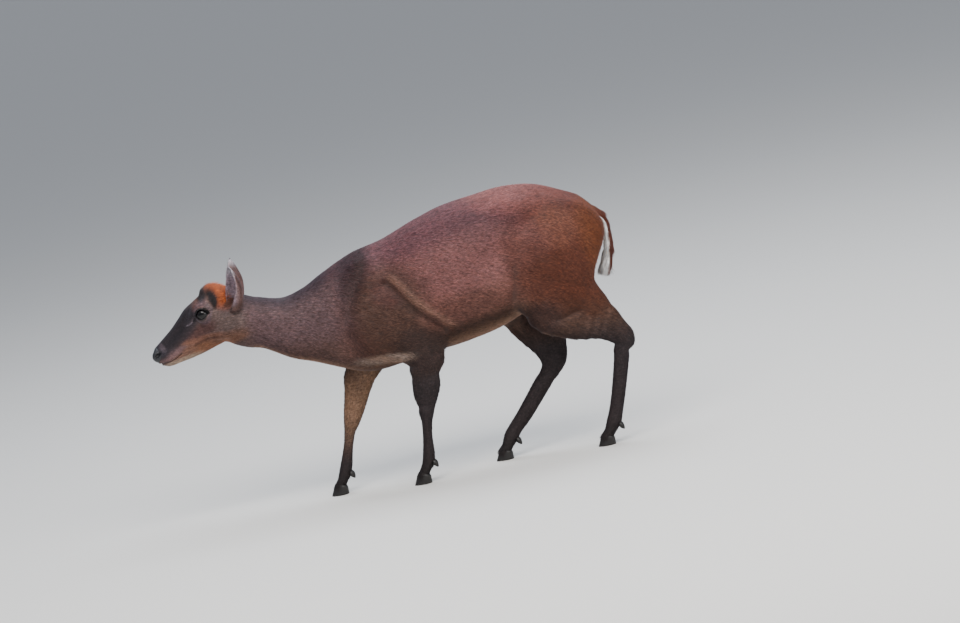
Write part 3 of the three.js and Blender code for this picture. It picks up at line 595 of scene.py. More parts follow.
def with_lids(p, d):
    """Lids round each eyeball: a hood over the ball, with an almond cut down into it."""
    for _, side in SIDES:
        local = in_eye(p, side)
        far = np.linalg.norm(local, axis=1)
        near = far < 40
        local, far = local[near], far[near]
        ball = far - EYE_RADIUS
        hood = join(d[near], ball - LID_OVER, 6)
        cut = almond(local)
        deep, place, wide = LID_CREASE
        fold = deep * bell(cut - place, wide) * ease(local[:, 2], -6, 4)
        opening = np.maximum(cut, -2.5 - ball)
        opening = np.where(local[:, 1] > 0, opening, 30)
        d[near] = carve(hood + fold, opening, 1.2)
    return d


def groove(x, z, line, deep, wide):
    """The depth of a soft groove along a line in the side view."""
    return deep * bell(line_distance(x, z, line), wide)


def face_relief(p):
    """How far the skin sinks in the grooves of the face and swells beside them."""
    x, y, z = p.T
    out = np.abs(y)
    to_mouth = line_distance(x, z, MOUTH)
    relief = 2.2 * bell(to_mouth, 1.4) - 0.7 * bell(to_mouth - 3.4, 2.0)
    slit = groove(x, z, GLAND, 3.4, 1.3) - groove(x, z, GLAND_FOLD, 1.2, 1.8)
    relief += slit * ease(out, 10, 18)
    relief += groove(x, z, JAW_FOLD, 1.2, 3.0) * ease(out, 6, 14)
    return relief


def off_nose(p):
    """A rough distance to the part of the muzzle that bare leather covers, negative in it."""
    along, up = to_frame(p, HEAD)
    foot_along, foot_up, slant, steep = NOSE_FOOT
    below = (along - foot_along) * slant - (up - foot_up) * steep
    return -join(NOSE_BACK - along, -below, 4)


def with_nostrils(p, d):
    along, up = to_frame(p, HEAD)
    return carve(d, oval_distance(along, np.abs(p[:, 1]), up, NOSTRIL), 2)


# Folds and veins of the body, as (line in the side view, depth, half width) on each side

BODY_FOLDS = {
    LEFT: [
        ([(10, 428), (30, 402), (48, 372), (76, 344), (108, 314)], 5.5, 8),
        ([(21, 437), (41, 411), (59, 382), (88, 354), (119, 324)], -2.4, 7),
        ([(-38, 472), (-58, 440), (-76, 404), (-84, 370)], 3.4, 12),
        ([(272, 410), (266, 378), (258, 348)], 3.0, 9),
    ],
    RIGHT: [
        ([(-11, 428), (7, 411), (22, 382), (37, 356), (50, 331), (58, 304)], 4.0, 9),
        ([(-66, 456), (-58, 420), (-56, 380), (-66, 340)], 2.6, 10),
    ],
}


def body_relief(p):
    x, y, z = p.T
    relief = np.zeros(len(p))
    for side, folds in BODY_FOLDS.items():
        gate = ease(y * side, 15, 35)
        for line, deep, wide in folds:
            relief += groove(x, z, line, deep, wide) * gate
    return relief


# The skin lies inside the solids by the depth of the coat

TRUNK_COAT = 4.0
NECK_COAT = 3.4
LEG_COAT = 1.3
FACE_COAT = 1.1


def coat_depth(p):
    along, _ = to_frame(p, HEAD)
    depth = blend(NECK_COAT, TRUNK_COAT, ease(p[:, 0], -160, 0))
    depth = blend(FACE_COAT, depth, ease(along, 165, 235))
    return blend(LEG_COAT, depth, ease(p[:, 2], 170, 290))


def skin_distance(p):
    d = body_distance(p) + coat_depth(p) + body_relief(p)
    back = p[:, 0] > 420
    d[back] = join(d[back], chain_distance(*p[back].T, TAIL_CORE) + 1.5, 8)
    front = p[:, 0] < -280
    face = p[front]
    relief = d[front] + face_relief(face)
    relief = with_lids(face, relief)
    relief = with_nostrils(face, relief)
    d[front] = np.maximum(relief, -off_nose(face))
    return d


def pad_distance(p):
    d = with_nostrils(p, head_distance(p) + 0.3)
    philtrum = 1.6 * bell(p[:, 1], 1.3) * ease(-to_frame(p, HEAD)[1], -8, 4)
    return np.maximum(d + philtrum, off_nose(p) - 2.0)


# Meshes over a field


def in_chunks(distance, p, size=150000):
    return np.concatenate([distance(p[i:i + size]) for i in range(0, len(p), size)])


def slope_of(p, distance, step=0.3):
    """The field at points, and its gradient there."""
    d = in_chunks(distance, p)
    ahead = [in_chunks(distance, p + step * axis) for axis in np.eye(3)]
    return d, (np.stack(ahead, 1) - d[:, None]) / step


def settle(p, distance, rounds=2, stride=4.0):
    """Moves points onto the surface of a field."""
    for _ in range(rounds):
        d, slope = slope_of(p, distance)
        move = -d[:, None] * slope / np.maximum(dot(slope, slope), 0.05)
        length = np.linalg.norm(move, axis=1, keepdims=True)
        p = p + move * np.minimum(1, stride / np.maximum(length, 1e-9))
    return p


def surface_net(distance, low, high, step):
    """A net of four-sided faces where the field changes sign, with a vertex in each cell it cuts."""
    axes = [np.arange(a, b + step, step) for a, b in zip(low, high)]
    grid = np.stack(np.meshgrid(*axes, indexing="ij"), -1).reshape(-1, 3)
    shape = [len(axis) for axis in axes]
    values = in_chunks(distance, grid)
    index = np.arange(len(grid)).reshape(shape)
    strides = (shape[1] * shape[2], shape[2], 1)
    hits = np.zeros(len(grid))
    sums = np.zeros((len(grid), 3))
    faces = []
    for axis in range(3):
        start = index[tuple(slice(0, -1) if i == axis else slice(1, -1) for i in range(3))].ravel()
        a, b = values[start], values[start + strides[axis]]
        cut = (a < 0) != (b < 0)
        start, a, b = start[cut], a[cut], b[cut]
        place = grid[start]
        place[:, axis] += step * a / (a - b)
        u, v = strides[(axis + 1) % 3], strides[(axis + 2) % 3]
        around = np.stack([start, start - u, start - u - v, start - v], 1)
        for cell in around.T:
            hits += np.bincount(cell, minlength=len(grid))
            for i in range(3):
                sums[:, i] += np.bincount(cell, place[:, i], len(grid))
        faces.append(np.where((a < 0)[:, None], around, around[:, ::-1]))
    used = hits > 0
    number = np.cumsum(used) - 1
    return sums[used] / hits[used][:, None], number[np.concatenate(faces)]


def neighbour_mean(p, edges):
    """The mean place of the points that each point has an edge to."""
    count = np.bincount(edges.ravel(), minlength=len(p))[:, None]
    total = np.zeros_like(p)
    for a, b in (edges.T, edges.T[::-1]):
        for i in range(3):
            total[:, i] += np.bincount(a, p[b, i], len(p))
    return total / np.maximum(count, 1)


def relax(p, edges, distance, rounds):
    """Evens out a net along its own surface."""
    for _ in range(rounds):
        move = neighbour_mean(p, edges) - p
        away = unit(slope_of(p, distance)[1])
        p = p + 0.6 * (move - away * dot(move, away))
    return p


def read_all(items, field, wide, kind=float):
    numbers = np.empty(len(items) * wide, kind)
    items.foreach_get(field, numbers)
    return numbers.reshape(-1, wide)


def get_points(mesh):
    return read_all(mesh.vertices, "co", 3)


def set_points(mesh, p):
    mesh.vertices.foreach_set("co", p.ravel())
    mesh.update()


def refine(mesh, chosen):
    """Halves the faces whose middle passes a test."""
    net = bmesh.new()
    net.from_mesh(mesh)
    net.faces.ensure_lookup_table()
    middles = np.array([face.calc_center_median() for face in net.faces])
    edges = {edge for face, take in zip(net.faces, chosen(middles)) if take for edge in face.edges}
    bmesh.ops.subdivide_edges(net, edges=list(edges), cuts=1, use_grid_fill=True)
    net.to_mesh(mesh)
    net.free()


def in_head_or_leg(p):
    return ((to_frame(p, HEAD)[0] < 205) & (p[:, 0] < -280)) | (p[:, 2] < 226)


def in_fine_face(p):
    near_eye = np.min([np.linalg.norm(p - eye_centre(side), axis=1) for _, side in SIDES], axis=0) < 24
    x, _, z = p.T
    near_mouth = line_distance(x, z, MOUTH) < 8
    near_gland = line_distance(x, z, GLAND) < 8
    return near_eye | near_mouth | near_gland | (to_frame(p, HEAD)[0] < 24)


NET_STEP = 4.4
NET_BOX = ((-500, -120, -8), (500, 120, 580))


def make_skin():
    mesh = bpy.data.meshes.new("skin")
    points, faces = surface_net(skin_distance, *NET_BOX, NET_STEP)
    mesh.from_pydata(points.tolist(), [], faces.tolist())
    shape_net(mesh, skin_distance, 2)
    for test in (in_head_or_leg, in_fine_face):
        refine(mesh, test)
        shape_net(mesh, skin_distance, 1)
    return mesh


def shape_net(mesh, distance, rounds):
    p = settle(get_points(mesh), distance)
    p = relax(p, read_all(mesh.edges, "vertices", 2, int), distance, rounds)
    set_points(mesh, settle(p, distance))


# From the drawing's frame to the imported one

EYE_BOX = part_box("eye_left")
SHIFT = np.array((EYE_BOX[0] + EYE_BOX[1]) / 2) / MM - eye_centre(LEFT)


def finish_piece(name, mesh, finish, nodes=()):
    set_points(mesh, (get_points(mesh) + SHIFT) * MM)
    mesh.name = name
    mesh.polygons.foreach_set("use_smooth", np.ones(len(mesh.polygons), bool))
    mesh.materials.clear()
    mesh.materials.append(finish.material)
    piece = add_object(name, mesh)
    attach(piece, "root")
    if nodes:
        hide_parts(*nodes)
    return piece


# Ears: cups of thin skin that are joined to the head

EAR_ROOT = np.array([-302, 27, 440])  # x, distance from her middle, z
EAR_LONG = 102
EAR_SUNK = 8
EAR_TURN = turn_matrix("X", 20 * DEG) @ turn_matrix("Y", 4 * DEG) @ turn_matrix("Z", 28 * DEG)
EAR_COAT = 0.9
EAR_ROWS = np.array([
    # share of the length, half width, depth, half angle of the cup, thickness
    [0, 11, 13, 150, 4.0],
    [0.1, 14, 18, 136, 3.0],
    [0.22, 17.5, 21, 116, 2.2],
    [0.4, 21, 22.5, 100, 1.8],
    [0.58, 21.5, 21, 88, 1.5],
    [0.76, 18, 14.5, 82, 1.2],
    [0.9, 12, 8, 78, 0.9],
    [1, 2.6, 1.6, 70, 0.5],
])


def place_in_ear(across, back, up, side):
    point = np.stack([back, -across, up], -1) @ EAR_TURN.T
    x, out, z = np.moveaxis(point, -1, 0)
    return np.stack([EAR_ROOT[0] + x, side * (EAR_ROOT[1] - out), EAR_ROOT[2] + z - EAR_SUNK], -1)


def in_ear(p, side):
    """Points as distances across, back and up in the ear."""
    x, out, z = p[:, 0] - EAR_ROOT[0], EAR_ROOT[1] - p[:, 1] * side, p[:, 2] - EAR_ROOT[2] + EAR_SUNK
    back, across, up = (np.stack([x, out, z], -1) @ EAR_TURN).T
    return -across, back, up


def make_ear(side, rings=44, columns=27):
    shares = np.linspace(0, 1, rings)
    rows = read_rows(EAR_ROWS, shares)[:, 1:, None]
    half, depth, wrap, thick = (rows[:, i] for i in range(4))
    angle = np.linspace(-1, 1, columns)[None] * wrap * DEG
    full = (ease(shares, 0.15, 0.4) * fade(shares, 0.75, 0.95))[:, None]
    ridge = 0.7 * full * np.sin(5 * np.pi * np.linspace(0, 1, columns))[None] ** 2
    up = np.repeat(shares[:, None] * EAR_LONG, columns, 1)
    arcs = []
    for inset in (EAR_COAT, EAR_COAT + thick + ridge):
        across = (half - inset) * np.sin(angle)
        back = (depth - inset) * np.cos(angle) - 0.4 * inset
        arcs.append(place_in_ear(across, back, up, side))
    tube = np.concatenate([arcs[0], arcs[1][:, ::-1]], 1)
    if side == LEFT:
        tube = tube[:, ::-1]
    return close_tube(tube)


def close_tube(tube):
    """Points and faces of a closed body over rings of points."""
    rings, count = tube.shape[:2]
    points = np.concatenate([tube.reshape(-1, 3), tube[0].mean(0)[None], tube[-1].mean(0)[None]])
    faces = []
    for i in range(rings - 1):
        for j in range(count):
            k = (j + 1) % count
            faces.append((i * count + j, i * count + k, (i + 1) * count + k, (i + 1) * count + j))
    start, end = rings * count, rings * count + 1
    foot = (rings - 1) * count
    for j in range(count):
        k = (j + 1) % count
        faces.append((start, k, j))
        faces.append((end, foot + j, foot + k))
    return points, faces


def mesh_from(name, points, faces):
    mesh = bpy.data.meshes.new(name)
    mesh.from_pydata(np.asarray(points).tolist(), [], [list(face) for face in faces])
    net = bmesh.new()
    net.from_mesh(mesh)
    bmesh.ops.recalc_face_normals(net, faces=net.faces)
    net.to_mesh(mesh)
    net.free()
    return mesh


def unite(mesh, others):
    """One mesh from several closed ones that run into each other."""
    piece = add_object("whole", mesh)
    helpers = [add_object("helper", other) for other in others]
    for helper in helpers:
        union = piece.modifiers.new("union", "BOOLEAN")
        union.operation = "UNION"
        union.solver = "MANIFOLD"
        union.object = helper
    bpy.context.view_layer.update()
    whole = bpy.data.meshes.new_from_object(piece.evaluated_get(bpy.context.evaluated_depsgraph_get()))
    for helper in (piece, *helpers):
        bpy.data.objects.remove(helper)
    return whole


def soften_ear_roots(mesh, rounds=8):
    p, edges = get_points(mesh), read_all(mesh.edges, "vertices", 2, int)
    near = np.zeros(len(p), bool)
    for _, side in SIDES:
        across, back, up = in_ear(p, side)
        near |= (np.abs(across) < 17) & (np.abs(back) < 17) & (up > 2) & (up < 24)
    near &= p[:, 2] > 430
    near[near] = in_chunks(skin_distance, p[near]) < 6
    for _ in range(rounds):
        p = np.where(near[:, None], blend(p, neighbour_mean(p, edges), 0.5), p)
    set_points(mesh, p)


# Her markings, with painted shade in some folds and hollows and along her underside, painted
# highlights on ridges and a painted reflection on the ear tips. Patches are ovals in the side view:
# place, radii, pitch and colour, laid over one another in this order; those of the face are in the
# head's own frame.

BACK = shade("6b3f3f")
# Painted shade: the flank darkens towards her underside
FLANK = shade("6f463d")
LOW_FLANK_SHADE = shade("483024")
BELLY = shade("86644f")
NECK_TOP = shade("2b2129")
NECK_MIDDLE = shade("574345")
NECK_LOW = shade("523c37")
LEG_DARK = shade("292021")
LEG_INNER = shade("86654e")
HOOF_HAIR = shade("241d1d")

BODY_PATCHES = [
    ((90, 520), (190, 46), 12, "58353a", 0.85),  # front of the back
    ((236, 506), (86, 30), 5, "4c2d32", 0.75),  # middle of the back
    ((330, 560), (150, 44), -6, "7e4a46", 0.9),  # top of the rump
    ((385, 420), (100, 130), 18, "4d2311", 0.9),  # haunch
    ((374, 472), (46, 38), 0, "744636", 0.5),  # over the hip
    ((458, 430), (40, 110), 10, "64361d", 0.85),  # back of the haunch
    ((180, 440), (150, 60), 8, "704846", 0.75),  # middle of the flank
    ((300, 400), (44, 90), 22, "532c1f", 0.6),  # in front of the thigh
    ((155, 354), (74, 30), 8, "53342d", 0.65),  # low on the ribs
    # painted shade along her underside
    ((160, 294), (140, 26), 8, "2b1a13", 0.7),  # lower edge of the flank
    # painted shadow in the fold of the flank
    ((306, 292), (40, 34), 0, "33201f", 0.6),  # fold of the flank
    ((-4, 376), (84, 88), -20, "3b281f", 0.85),  # shoulder and upper arm
    ((8, 415), (38, 32), 0, "4a2b26", 0.8),  # point of the shoulder
    # painted shade in the hollow in front of the shoulder
    ((-62, 460), (30, 64), -28, "22151a", 0.8),  # in front of the shoulder
    ((46, 296), (48, 36), 0, "32231f", 0.8),  # above the elbow
    ((-34, 276), (60, 12), -2, "a18a7c", 0.85),  # brisket
    # painted shade in the fold behind the elbow
    ((60, 258), (90, 14), 6, "33211c", 0.7),  # fold behind the elbow
]
FACE_PATCHES = [
    ((96, -48), (74, 12), -21, "87593f", 0.9),  # jaw
    ((96, -28), (50, 8), -24, "805440", 0.75),  # cheek bone
    ((112, -14), (44, 12), -8, "4a2e2b", 0.85),  # below the eye
    ((172, -24), (36, 34), 0, "594945", 0.85),  # cheek
    ((146, -60), (40, 11), -22, "6b4b3e", 0.7),  # back of the jaw
    ((34, -40), (44, 9), -16, "a88f7a", 0.85),  # chin
    ((44, -28), (34, 7), -14, "7f5b4c", 0.8),  # lower lip
    ((30, -16), (28, 9), -4, "6b5153", 0.8),  # upper lip
    ((56, 0), (50, 12), 4, "2d242a", 0.85),  # side of the muzzle
    ((62, 20), (74, 22), 14, "1b161c", 0.95),  # bridge of the nose
    ((12, 4), (14, 18), 10, "28232a", 0.9),  # round the nose
    ((21, 6), (5, 10), 0, "6a5b62", 0.35),  # pale hair behind the nose
    ((108, 16), (24, 13), 20, "29232a", 0.8),  # in front of the eye
    ((136, 31), (15, 10), 0, "5e3a31", 0.75),  # brow
    ((176, 4), (16, 22), -10, "4c3d41", 0.7),  # behind the eye
    ((183, 26), (25, 34), 0, "9c4b20", 1.0),  # crown
    ((148, 39), (11, 11), 0, "160d0d", 0.95),  # band across the forehead
    ((159, 21), (7, 17), -10, "170f10", 1.0),  # its side, down behind the eye
    ((186, -4), (15, 7), 0, "38251f", 0.8),  # below the crown
    ((182, 42), (24, 9), -14, "9c4b20", 1.0),  # top of the crown
    ((212, 18), (6, 24), 0, "33221e", 0.9),  # between the ears
]
EYE_RING = shade("665660")
GLAND_RIM = shade("8f8088")
GLAND_SLIT = shade("140f10")
LIP_EDGE_AND_SHADE = shade("3a2420")
FACE_LOW = shade("5f4a46")
FACE_HIGH = shade("6a5550")
EAR_INNER = shade("88747e")
EAR_INNER_TIP = shade("c4bec8")
EAR_OUTER = shade("71534f")
EAR_BACK_SHADE = shade("45302e")
EAR_EDGE = shade("9a8080")
EAR_TIP_REFLECTION = shade("b9b2b8")
EAR_FOOT = shade("5f4640")
# Painted shade for the creases, and a painted highlight for the ridges beside them
FOLD_SHADE = shade("2e1b15")
FOLD_HIGHLIGHT = shade("96705f")
TAIL_TOP = shade("4d2417")
TAIL_UNDER = shade("f2eeea")


def lay(colours, over, share):
    """Colours with another laid over them, by a share at each point."""
    return blend(colours, over, share[:, None])


def oval_share(x, z, at, radii, pitch, edge=0.4):
    """How far points lie in an oval patch: 1 inside it, 0 outside, soft between."""
    along, up = turned(x - at[0], z - at[1], pitch * DEG)
    r = np.hypot(along / radii[0], up / radii[1])
    return fade(r, 1 - edge, 1 + edge)


def paint_body(p, n):
    x, _, z = p.T
    c = blend(FLANK, BACK, ease(z, 380, 510)[:, None])
    # Painted shade, darker low on the flank towards the belly
    c = lay(c, LOW_FLANK_SHADE, fade(z - 0.14 * x, 268, 350))
    for at, radii, pitch, code, share in BODY_PATCHES:
        c = lay(c, shade(code), share * oval_share(x, z, at, radii, pitch))
    c = paint_fold_shade_and_highlights(p, c)
    neck = blend(NECK_LOW, NECK_MIDDLE, ease(z, 310, 370)[:, None])
    neck = lay(neck, NECK_TOP, ease(n[:, 2], 0.3, 0.85))
    c = blend(c, neck, fade(x, -130, -40)[:, None] * 0.92)
    under = ease(-n[:, 2], 0.55, 0.95) * ease(z, 230, 270) * fade(x, 300, 380)
    return lay(c, BELLY, 0.8 * under)


def paint_fold_shade_and_highlights(p, c):
    """Paints shade into the creases of the body and highlights on the ridges beside them."""
    x, y, z = p.T
    for side, folds in BODY_FOLDS.items():
        gate = ease(y * side, 15, 35)
        for line, deep, wide in folds:
            tint = FOLD_SHADE if deep > 0 else FOLD_HIGHLIGHT
            c = lay(c, tint, groove(x, z, line, min(abs(deep) / 6, 0.55), wide) * gate)
    return c


def paint_legs(p, n, c):
    x, y, z = p.T
    leg = fade(z, 205, 300)
    side = np.sign(y)
    inner = ease(-n[:, 1] * side, 0.1, 0.7)
    fore = fade(x, 90, 130)
    dark = blend(LEG_DARK, LEG_INNER, (inner * 0.85 * fore * ease(z, 60, 190))[:, None])
    c = lay(c, dark, leg)
    return lay(c, HOOF_HAIR, fade(z, 25, 75))


def paint_tail(p, c):
    x, y, z = p.T
    near = ease(x, 458, 470) * fade(np.abs(y), 10, 22)
    hind = tail_behind(p)
    tail = blend(TAIL_UNDER, TAIL_TOP, ease(hind, -4, -1)[:, None])
    return lay(c, tail, near * fade(z, 476, 490) * ease(z, 320, 330))


def tail_behind(p):
    """How far points lie behind the middle line of the tail."""
    order = np.argsort(TAIL_CORE[:, 2])
    return p[:, 0] - np.interp(p[:, 2], TAIL_CORE[order, 2], TAIL_CORE[order, 0])


def paint_face(p, c):
    along, up = to_frame(p, HEAD)
    face = blend(FACE_LOW, FACE_HIGH, ease(up, -40, 20)[:, None])
    for at, radii, pitch, code, share in FACE_PATCHES:
        face = lay(face, shade(code), share * oval_share(along, up, at, radii, pitch))
    x, _, z = p.T
    out = ease(np.abs(p[:, 1]), 8, 14)
    to_gland = line_distance(x, z, GLAND)
    face = lay(face, GLAND_RIM, groove(x, z, GLAND_FOLD, 0.4, 1.0) * out)
    # Painted shade in the fold along the jaw
    face = lay(face, FOLD_SHADE, groove(x, z, JAW_FOLD, 0.6, 3.0) * out)
    for _, side in SIDES:
        local = in_eye(p, side)
        cut = np.where(local[:, 1] > 0, almond(local), 99)
        face = lay(face, EYE_RING, 0.45 * bell(cut - 7, 4.5))
        face = lay(face, GLAND_SLIT, fade(cut, 1.4, 3.4))
    face = lay(face, GLAND_SLIT, fade(to_gland, 0.8, 2.4) * out)
    # The lips' own dark edge, with painted shade in the crease where they meet
    face = lay(face, LIP_EDGE_AND_SHADE, 0.6 * fade(line_distance(x, z, MOUTH), 0.5, 2.0))
    return lay(c, face, fade(along, 180, 222) * fade(x, -300, -270))


def paint(p, n):
    """Her colours at points of the skin, with n the way out of it."""
    c = paint_body(p, n)
    c = paint_legs(p, n, c)
    c = paint_tail(p, c)
    front = p[:, 0] < -250
    c[front] = paint_face(p[front], c[front])
    return c


def paint_ear(p, n, side):
    across, back, up = in_ear(p, side)
    opening = place_in_ear(*np.array([[0, 0, 0], [0, -1, 0]]).T.astype(float), side)
    facing = n @ unit(opening[1] - opening[0])
    share = up / EAR_LONG
    half = read_rows(EAR_ROWS, np.clip(share, 0, 1))[:, 1]
    rim = ease(np.abs(across) / half, 0.86, 1.0)
    inner = lay(np.repeat(EAR_INNER[None], len(p), 0), EAR_INNER_TIP, ease(share, 0.55, 0.95) * 0.7)
    c = lay(np.repeat(EAR_OUTER[None], len(p), 0), inner, ease(facing, -0.15, 0.25))
    # Painted shade on the upper back of the ear, on the side turned from the opening
    behind = ease(back, -4, 8) * ease(share, 0.3, 0.6) * fade(facing, -0.5, 0.0)
    c = lay(c, EAR_BACK_SHADE, behind * 0.7)
    c = lay(c, EAR_EDGE, 0.6 * rim * ease(share, 0.15, 0.3))
    # Painted reflection of the light from above, paling the tip of the ear
    c = lay(c, EAR_TIP_REFLECTION, 0.65 * ease(share, 0.74, 0.95))
    return lay(c, EAR_FOOT, fade(share, 0.1, 0.28))


# The lie of the coat


def chain_heading(p, chain):
    """Which way a chain of joints runs, near each point."""
    heading = np.zeros_like(p)
    for a, b in zip(chain, chain[1:]):
        way = b[:3] - a[:3]
        long = np.linalg.norm(way)
        t = np.clip((p - a[:3]) @ way / long ** 2, 0, 1)
        gap = np.linalg.norm(p - a[:3] - t[:, None] * way, axis=1)
        heading += (way / long)[None] / (gap[:, None] ** 2 + 60) ** 2
    return unit(heading)


HEAD_BACK = np.array([math.cos(HEAD["pitch"] * DEG), 0, math.sin(HEAD["pitch"] * DEG)])
HAUNCH_LIE = np.array([0.55, 0, -0.85])
LEG_HAIR_TOP = {"fore": 300, "hind": 330}  # the level from which the hair follows the leg


def coat_lie(p, n):
    """Which way the hair lies: back and down the trunk, along the legs and tail, up the face."""
    x, y, z = p.T
    steep = np.sqrt(np.maximum(1 - n[:, 2] ** 2, 0))
    lie = np.stack([np.ones(len(p)), 0 * y, -0.5 * steep], 1)
    haunch = ease(x, 300, 420)[:, None]
    lie = unit(blend(lie, HAUNCH_LIE, haunch * 0.9))
    for name, leg in LEGS.items():
        chain = leg["chain"][1:] * (1, leg["side"], 1, 1, 1)
        on_side = ease(y * leg["side"], -6, 6)
        gap = leg_distance(p, leg)
        top = LEG_HAIR_TOP[name.split("_")[0]]
        share = fade(z, top - 70, top) * on_side * (gap < 20)
        lie = unit(lay(lie, chain_heading(p, chain), share))
    tail = ease(x, 458, 468) * fade(z, 478, 492) * ease(z, 320, 330)
    lie = unit(lay(lie, chain_heading(p, TAIL_CORE), tail))
    along, up = to_frame(p, HEAD)
    jaw = HEAD_BACK + np.array([0.1, 0, -0.35])
    face = blend(jaw, HEAD_BACK, ease(up, -30, 10)[:, None])
    return lay(lie, unit(face), fade(along, 175, 225) * (x < -270))


def flat_on(lie, n):
    return unit(lie - n * dot(lie, n))


# Tufts: thin pointed blades with a ridge, rooted under the skin


def triangles_of(mesh):
    """The triangles of a mesh, and the way out at each of its points."""
    mesh.calc_loop_triangles()
    return read_all(mesh.loop_triangles, "vertices", 3, int), read_all(mesh.vertices, "normal", 3)


def sow(p, n, faces, density, seed):
    """Roots scattered over faces, with the way out at each."""
    rng = np.random.default_rng(seed)
    corners = p[faces]
    sides = corners[:, 1:] - corners[:, :1]
    area = 0.5 * np.linalg.norm(np.cross(sides[:, 0], sides[:, 1]), axis=1)
    total = np.cumsum(area * density(corners.mean(1)))
    count = int(total[-1])
    picked = np.searchsorted(total, (np.arange(count) + rng.random(count)) * total[-1] / count)
    picked = np.minimum(picked, len(faces) - 1)
    a, b = np.sqrt(rng.random(count)), rng.random(count)
    weights = np.stack([1 - a, a * (1 - b), a * b], 1)[..., None]
    roots = (corners[picked] * weights).sum(1)
    return roots, unit((n[faces[picked]] * weights).sum(1)), rng


def make_tufts(root, rise, lie, long, wide, stand, rng, bend=False, stray=0.16):
    """Points, faces and normals of tufts; a bent one has a joint half way."""
    turn = rng.normal(0, stray, len(root))[:, None]
    across = np.cross(lie, rise)
    lie = unit(lie + across * turn)
    across = np.cross(lie, rise)
    long, wide, stand = (np.broadcast_to(size, len(root))[:, None] for size in (long, wide, stand))
    shares = (0, 0.55, 1) if bend else (0, 1)
    rows = []
    for share in shares[:-1]:
        middle = tuft_line(root, rise, lie, long, stand, share)
        half = 0.5 * wide * (1 if share == 0 else 0.8)
        rows += [middle - across * half, middle + across * half, middle + rise * half * 0.9]
    rows.append(tuft_line(root, rise, lie, long, stand, 1))
    points = np.stack(rows, 1)
    per = points.shape[1]
    tip = per - 1
    faces = [(0, 2, 1)]
    for i in range(0, tip, 3):
        if i + 3 < tip:
            for a, b in ((0, 1), (1, 2), (2, 0)):
                faces += [(i + a, i + b, i + 3 + b), (i + a, i + 3 + b, i + 3 + a)]
        else:
            faces += [(i, i + 1, tip), (i + 1, i + 2, tip), (i + 2, i, tip)]
    faces = np.array(faces)[None, :, ::-1] + per * np.arange(len(root))[:, None, None]
    wobble = rng.normal(0, 0.17, (len(root), 1, 3))
    normals = unit(np.repeat(rise[:, None], per, 1) + wobble)
    return points, faces, normals


def tuft_line(root, rise, lie, long, stand, share):
    """The middle of tufts at a share of their length; they bow towards the skin."""
    lift = long * stand * share * (1 - 0.45 * share) - 0.4 * (1 - share)
    return root + lie * long * share + rise * lift


def build_coat(name, parts, uv, tints, finish):
    points, faces, normals = parts
    count, per = points.shape[:2]
    mesh = bpy.data.meshes.new(name)
    flat = faces.reshape(-1, 3)
    mesh.vertices.add(count * per)
    mesh.vertices.foreach_set("co", points.ravel())
    mesh.loops.add(flat.size)
    mesh.loops.foreach_set("vertex_index", flat.ravel())
    mesh.polygons.add(len(flat))
    mesh.polygons.foreach_set("loop_start", np.arange(0, flat.size, 3))
    mesh.update(calc_edges=True)
    add_tint(mesh, tuft_colours(tints, per, name).reshape(-1, 3))
    layer = mesh.uv_layers.new(name="OFBake")
    layer.data.foreach_set("uv", tuft_patches(uv, per).reshape(-1, 2)[flat.ravel()].ravel())
    piece = finish_piece(name, mesh, finish)
    mesh.normals_split_custom_set_from_vertices(normals.reshape(-1, 3).astype(np.float32))
    return piece


PATCH = 0.003  # how wide a tuft is on the unwrap


def add_tint(mesh, colours):
    """Keeps a colour at each point, which the finishes read."""
    tint = mesh.attributes.new("tint", "FLOAT_COLOR", "POINT")
    tint.data.foreach_set("color", np.concatenate([colours, np.ones((len(colours), 1))], 1).ravel())


def tuft_patches(uv, per):
    """A small patch of the unwrap for every tuft, at the place of its root."""
    spread = np.array([[0, 0], [1, 0], [0.5, 0.2], [0, 0.5], [1, 0.5], [0.5, 0.6]])[:per - 1]
    corners = np.concatenate([spread, [[0.5, 1]]]) * PATCH
    return uv[:, None] * (1 - PATCH) + corners[None]


def tuft_colours(tints, per, name):
    """Colours that vary from tuft to tuft and are darker at the root."""
    rng = np.random.default_rng(len(name))
    count = len(tints)
    value = rng.normal(1, 0.2, count).clip(0.5, 1.6) * np.where(rng.random(count) < 0.05, 1.5, 1)
    warm = rng.normal(0, 0.05, count)[:, None] * (1, 0, -1) + 1
    along = np.concatenate([np.linspace(0.72, 1.0, (per - 1) // 3).repeat(3), [1.22]])
    return ((tints * warm * value[:, None])[:, None] * along[None, :, None]).clip(0, 1)


def stretch(value):
    """Values spread over the length of the unwrap."""
    low, high = value.min(), value.max()
    return 0.004 + 0.99 * (value - low) / max(high - low, 1e-6)


def turn_about(y, away):
    """How far round a limb points lie, as a share of the unwrap."""
    return (np.arctan2(y, away) / (2 * math.pi) + 0.5).clip(0, 1) * 0.994 + 0.003


def unwrap_trunk(p):
    _, top, bottom, *_ = read_rows(TRUNK["rows"], p[:, 0]).T
    return np.stack([stretch(p[:, 0]), turn_about(p[:, 1], (top + bottom) / 2 - p[:, 2])], 1)


def unwrap_head(p):
    along, up = to_frame(p, HEAD)
    return np.stack([stretch(along), turn_about(p[:, 1], -10 - up)], 1)


def unwrap_chain(chain, side):
    order = np.argsort(chain[:, 2])

    def unwrap(p):
        x, y = (np.interp(p[:, 2], chain[order, 2], chain[order, i]) for i in (0, 1))
        return np.stack([stretch(p[:, 2]), turn_about(p[:, 1] * side - y, p[:, 0] - x)], 1)
    return unwrap


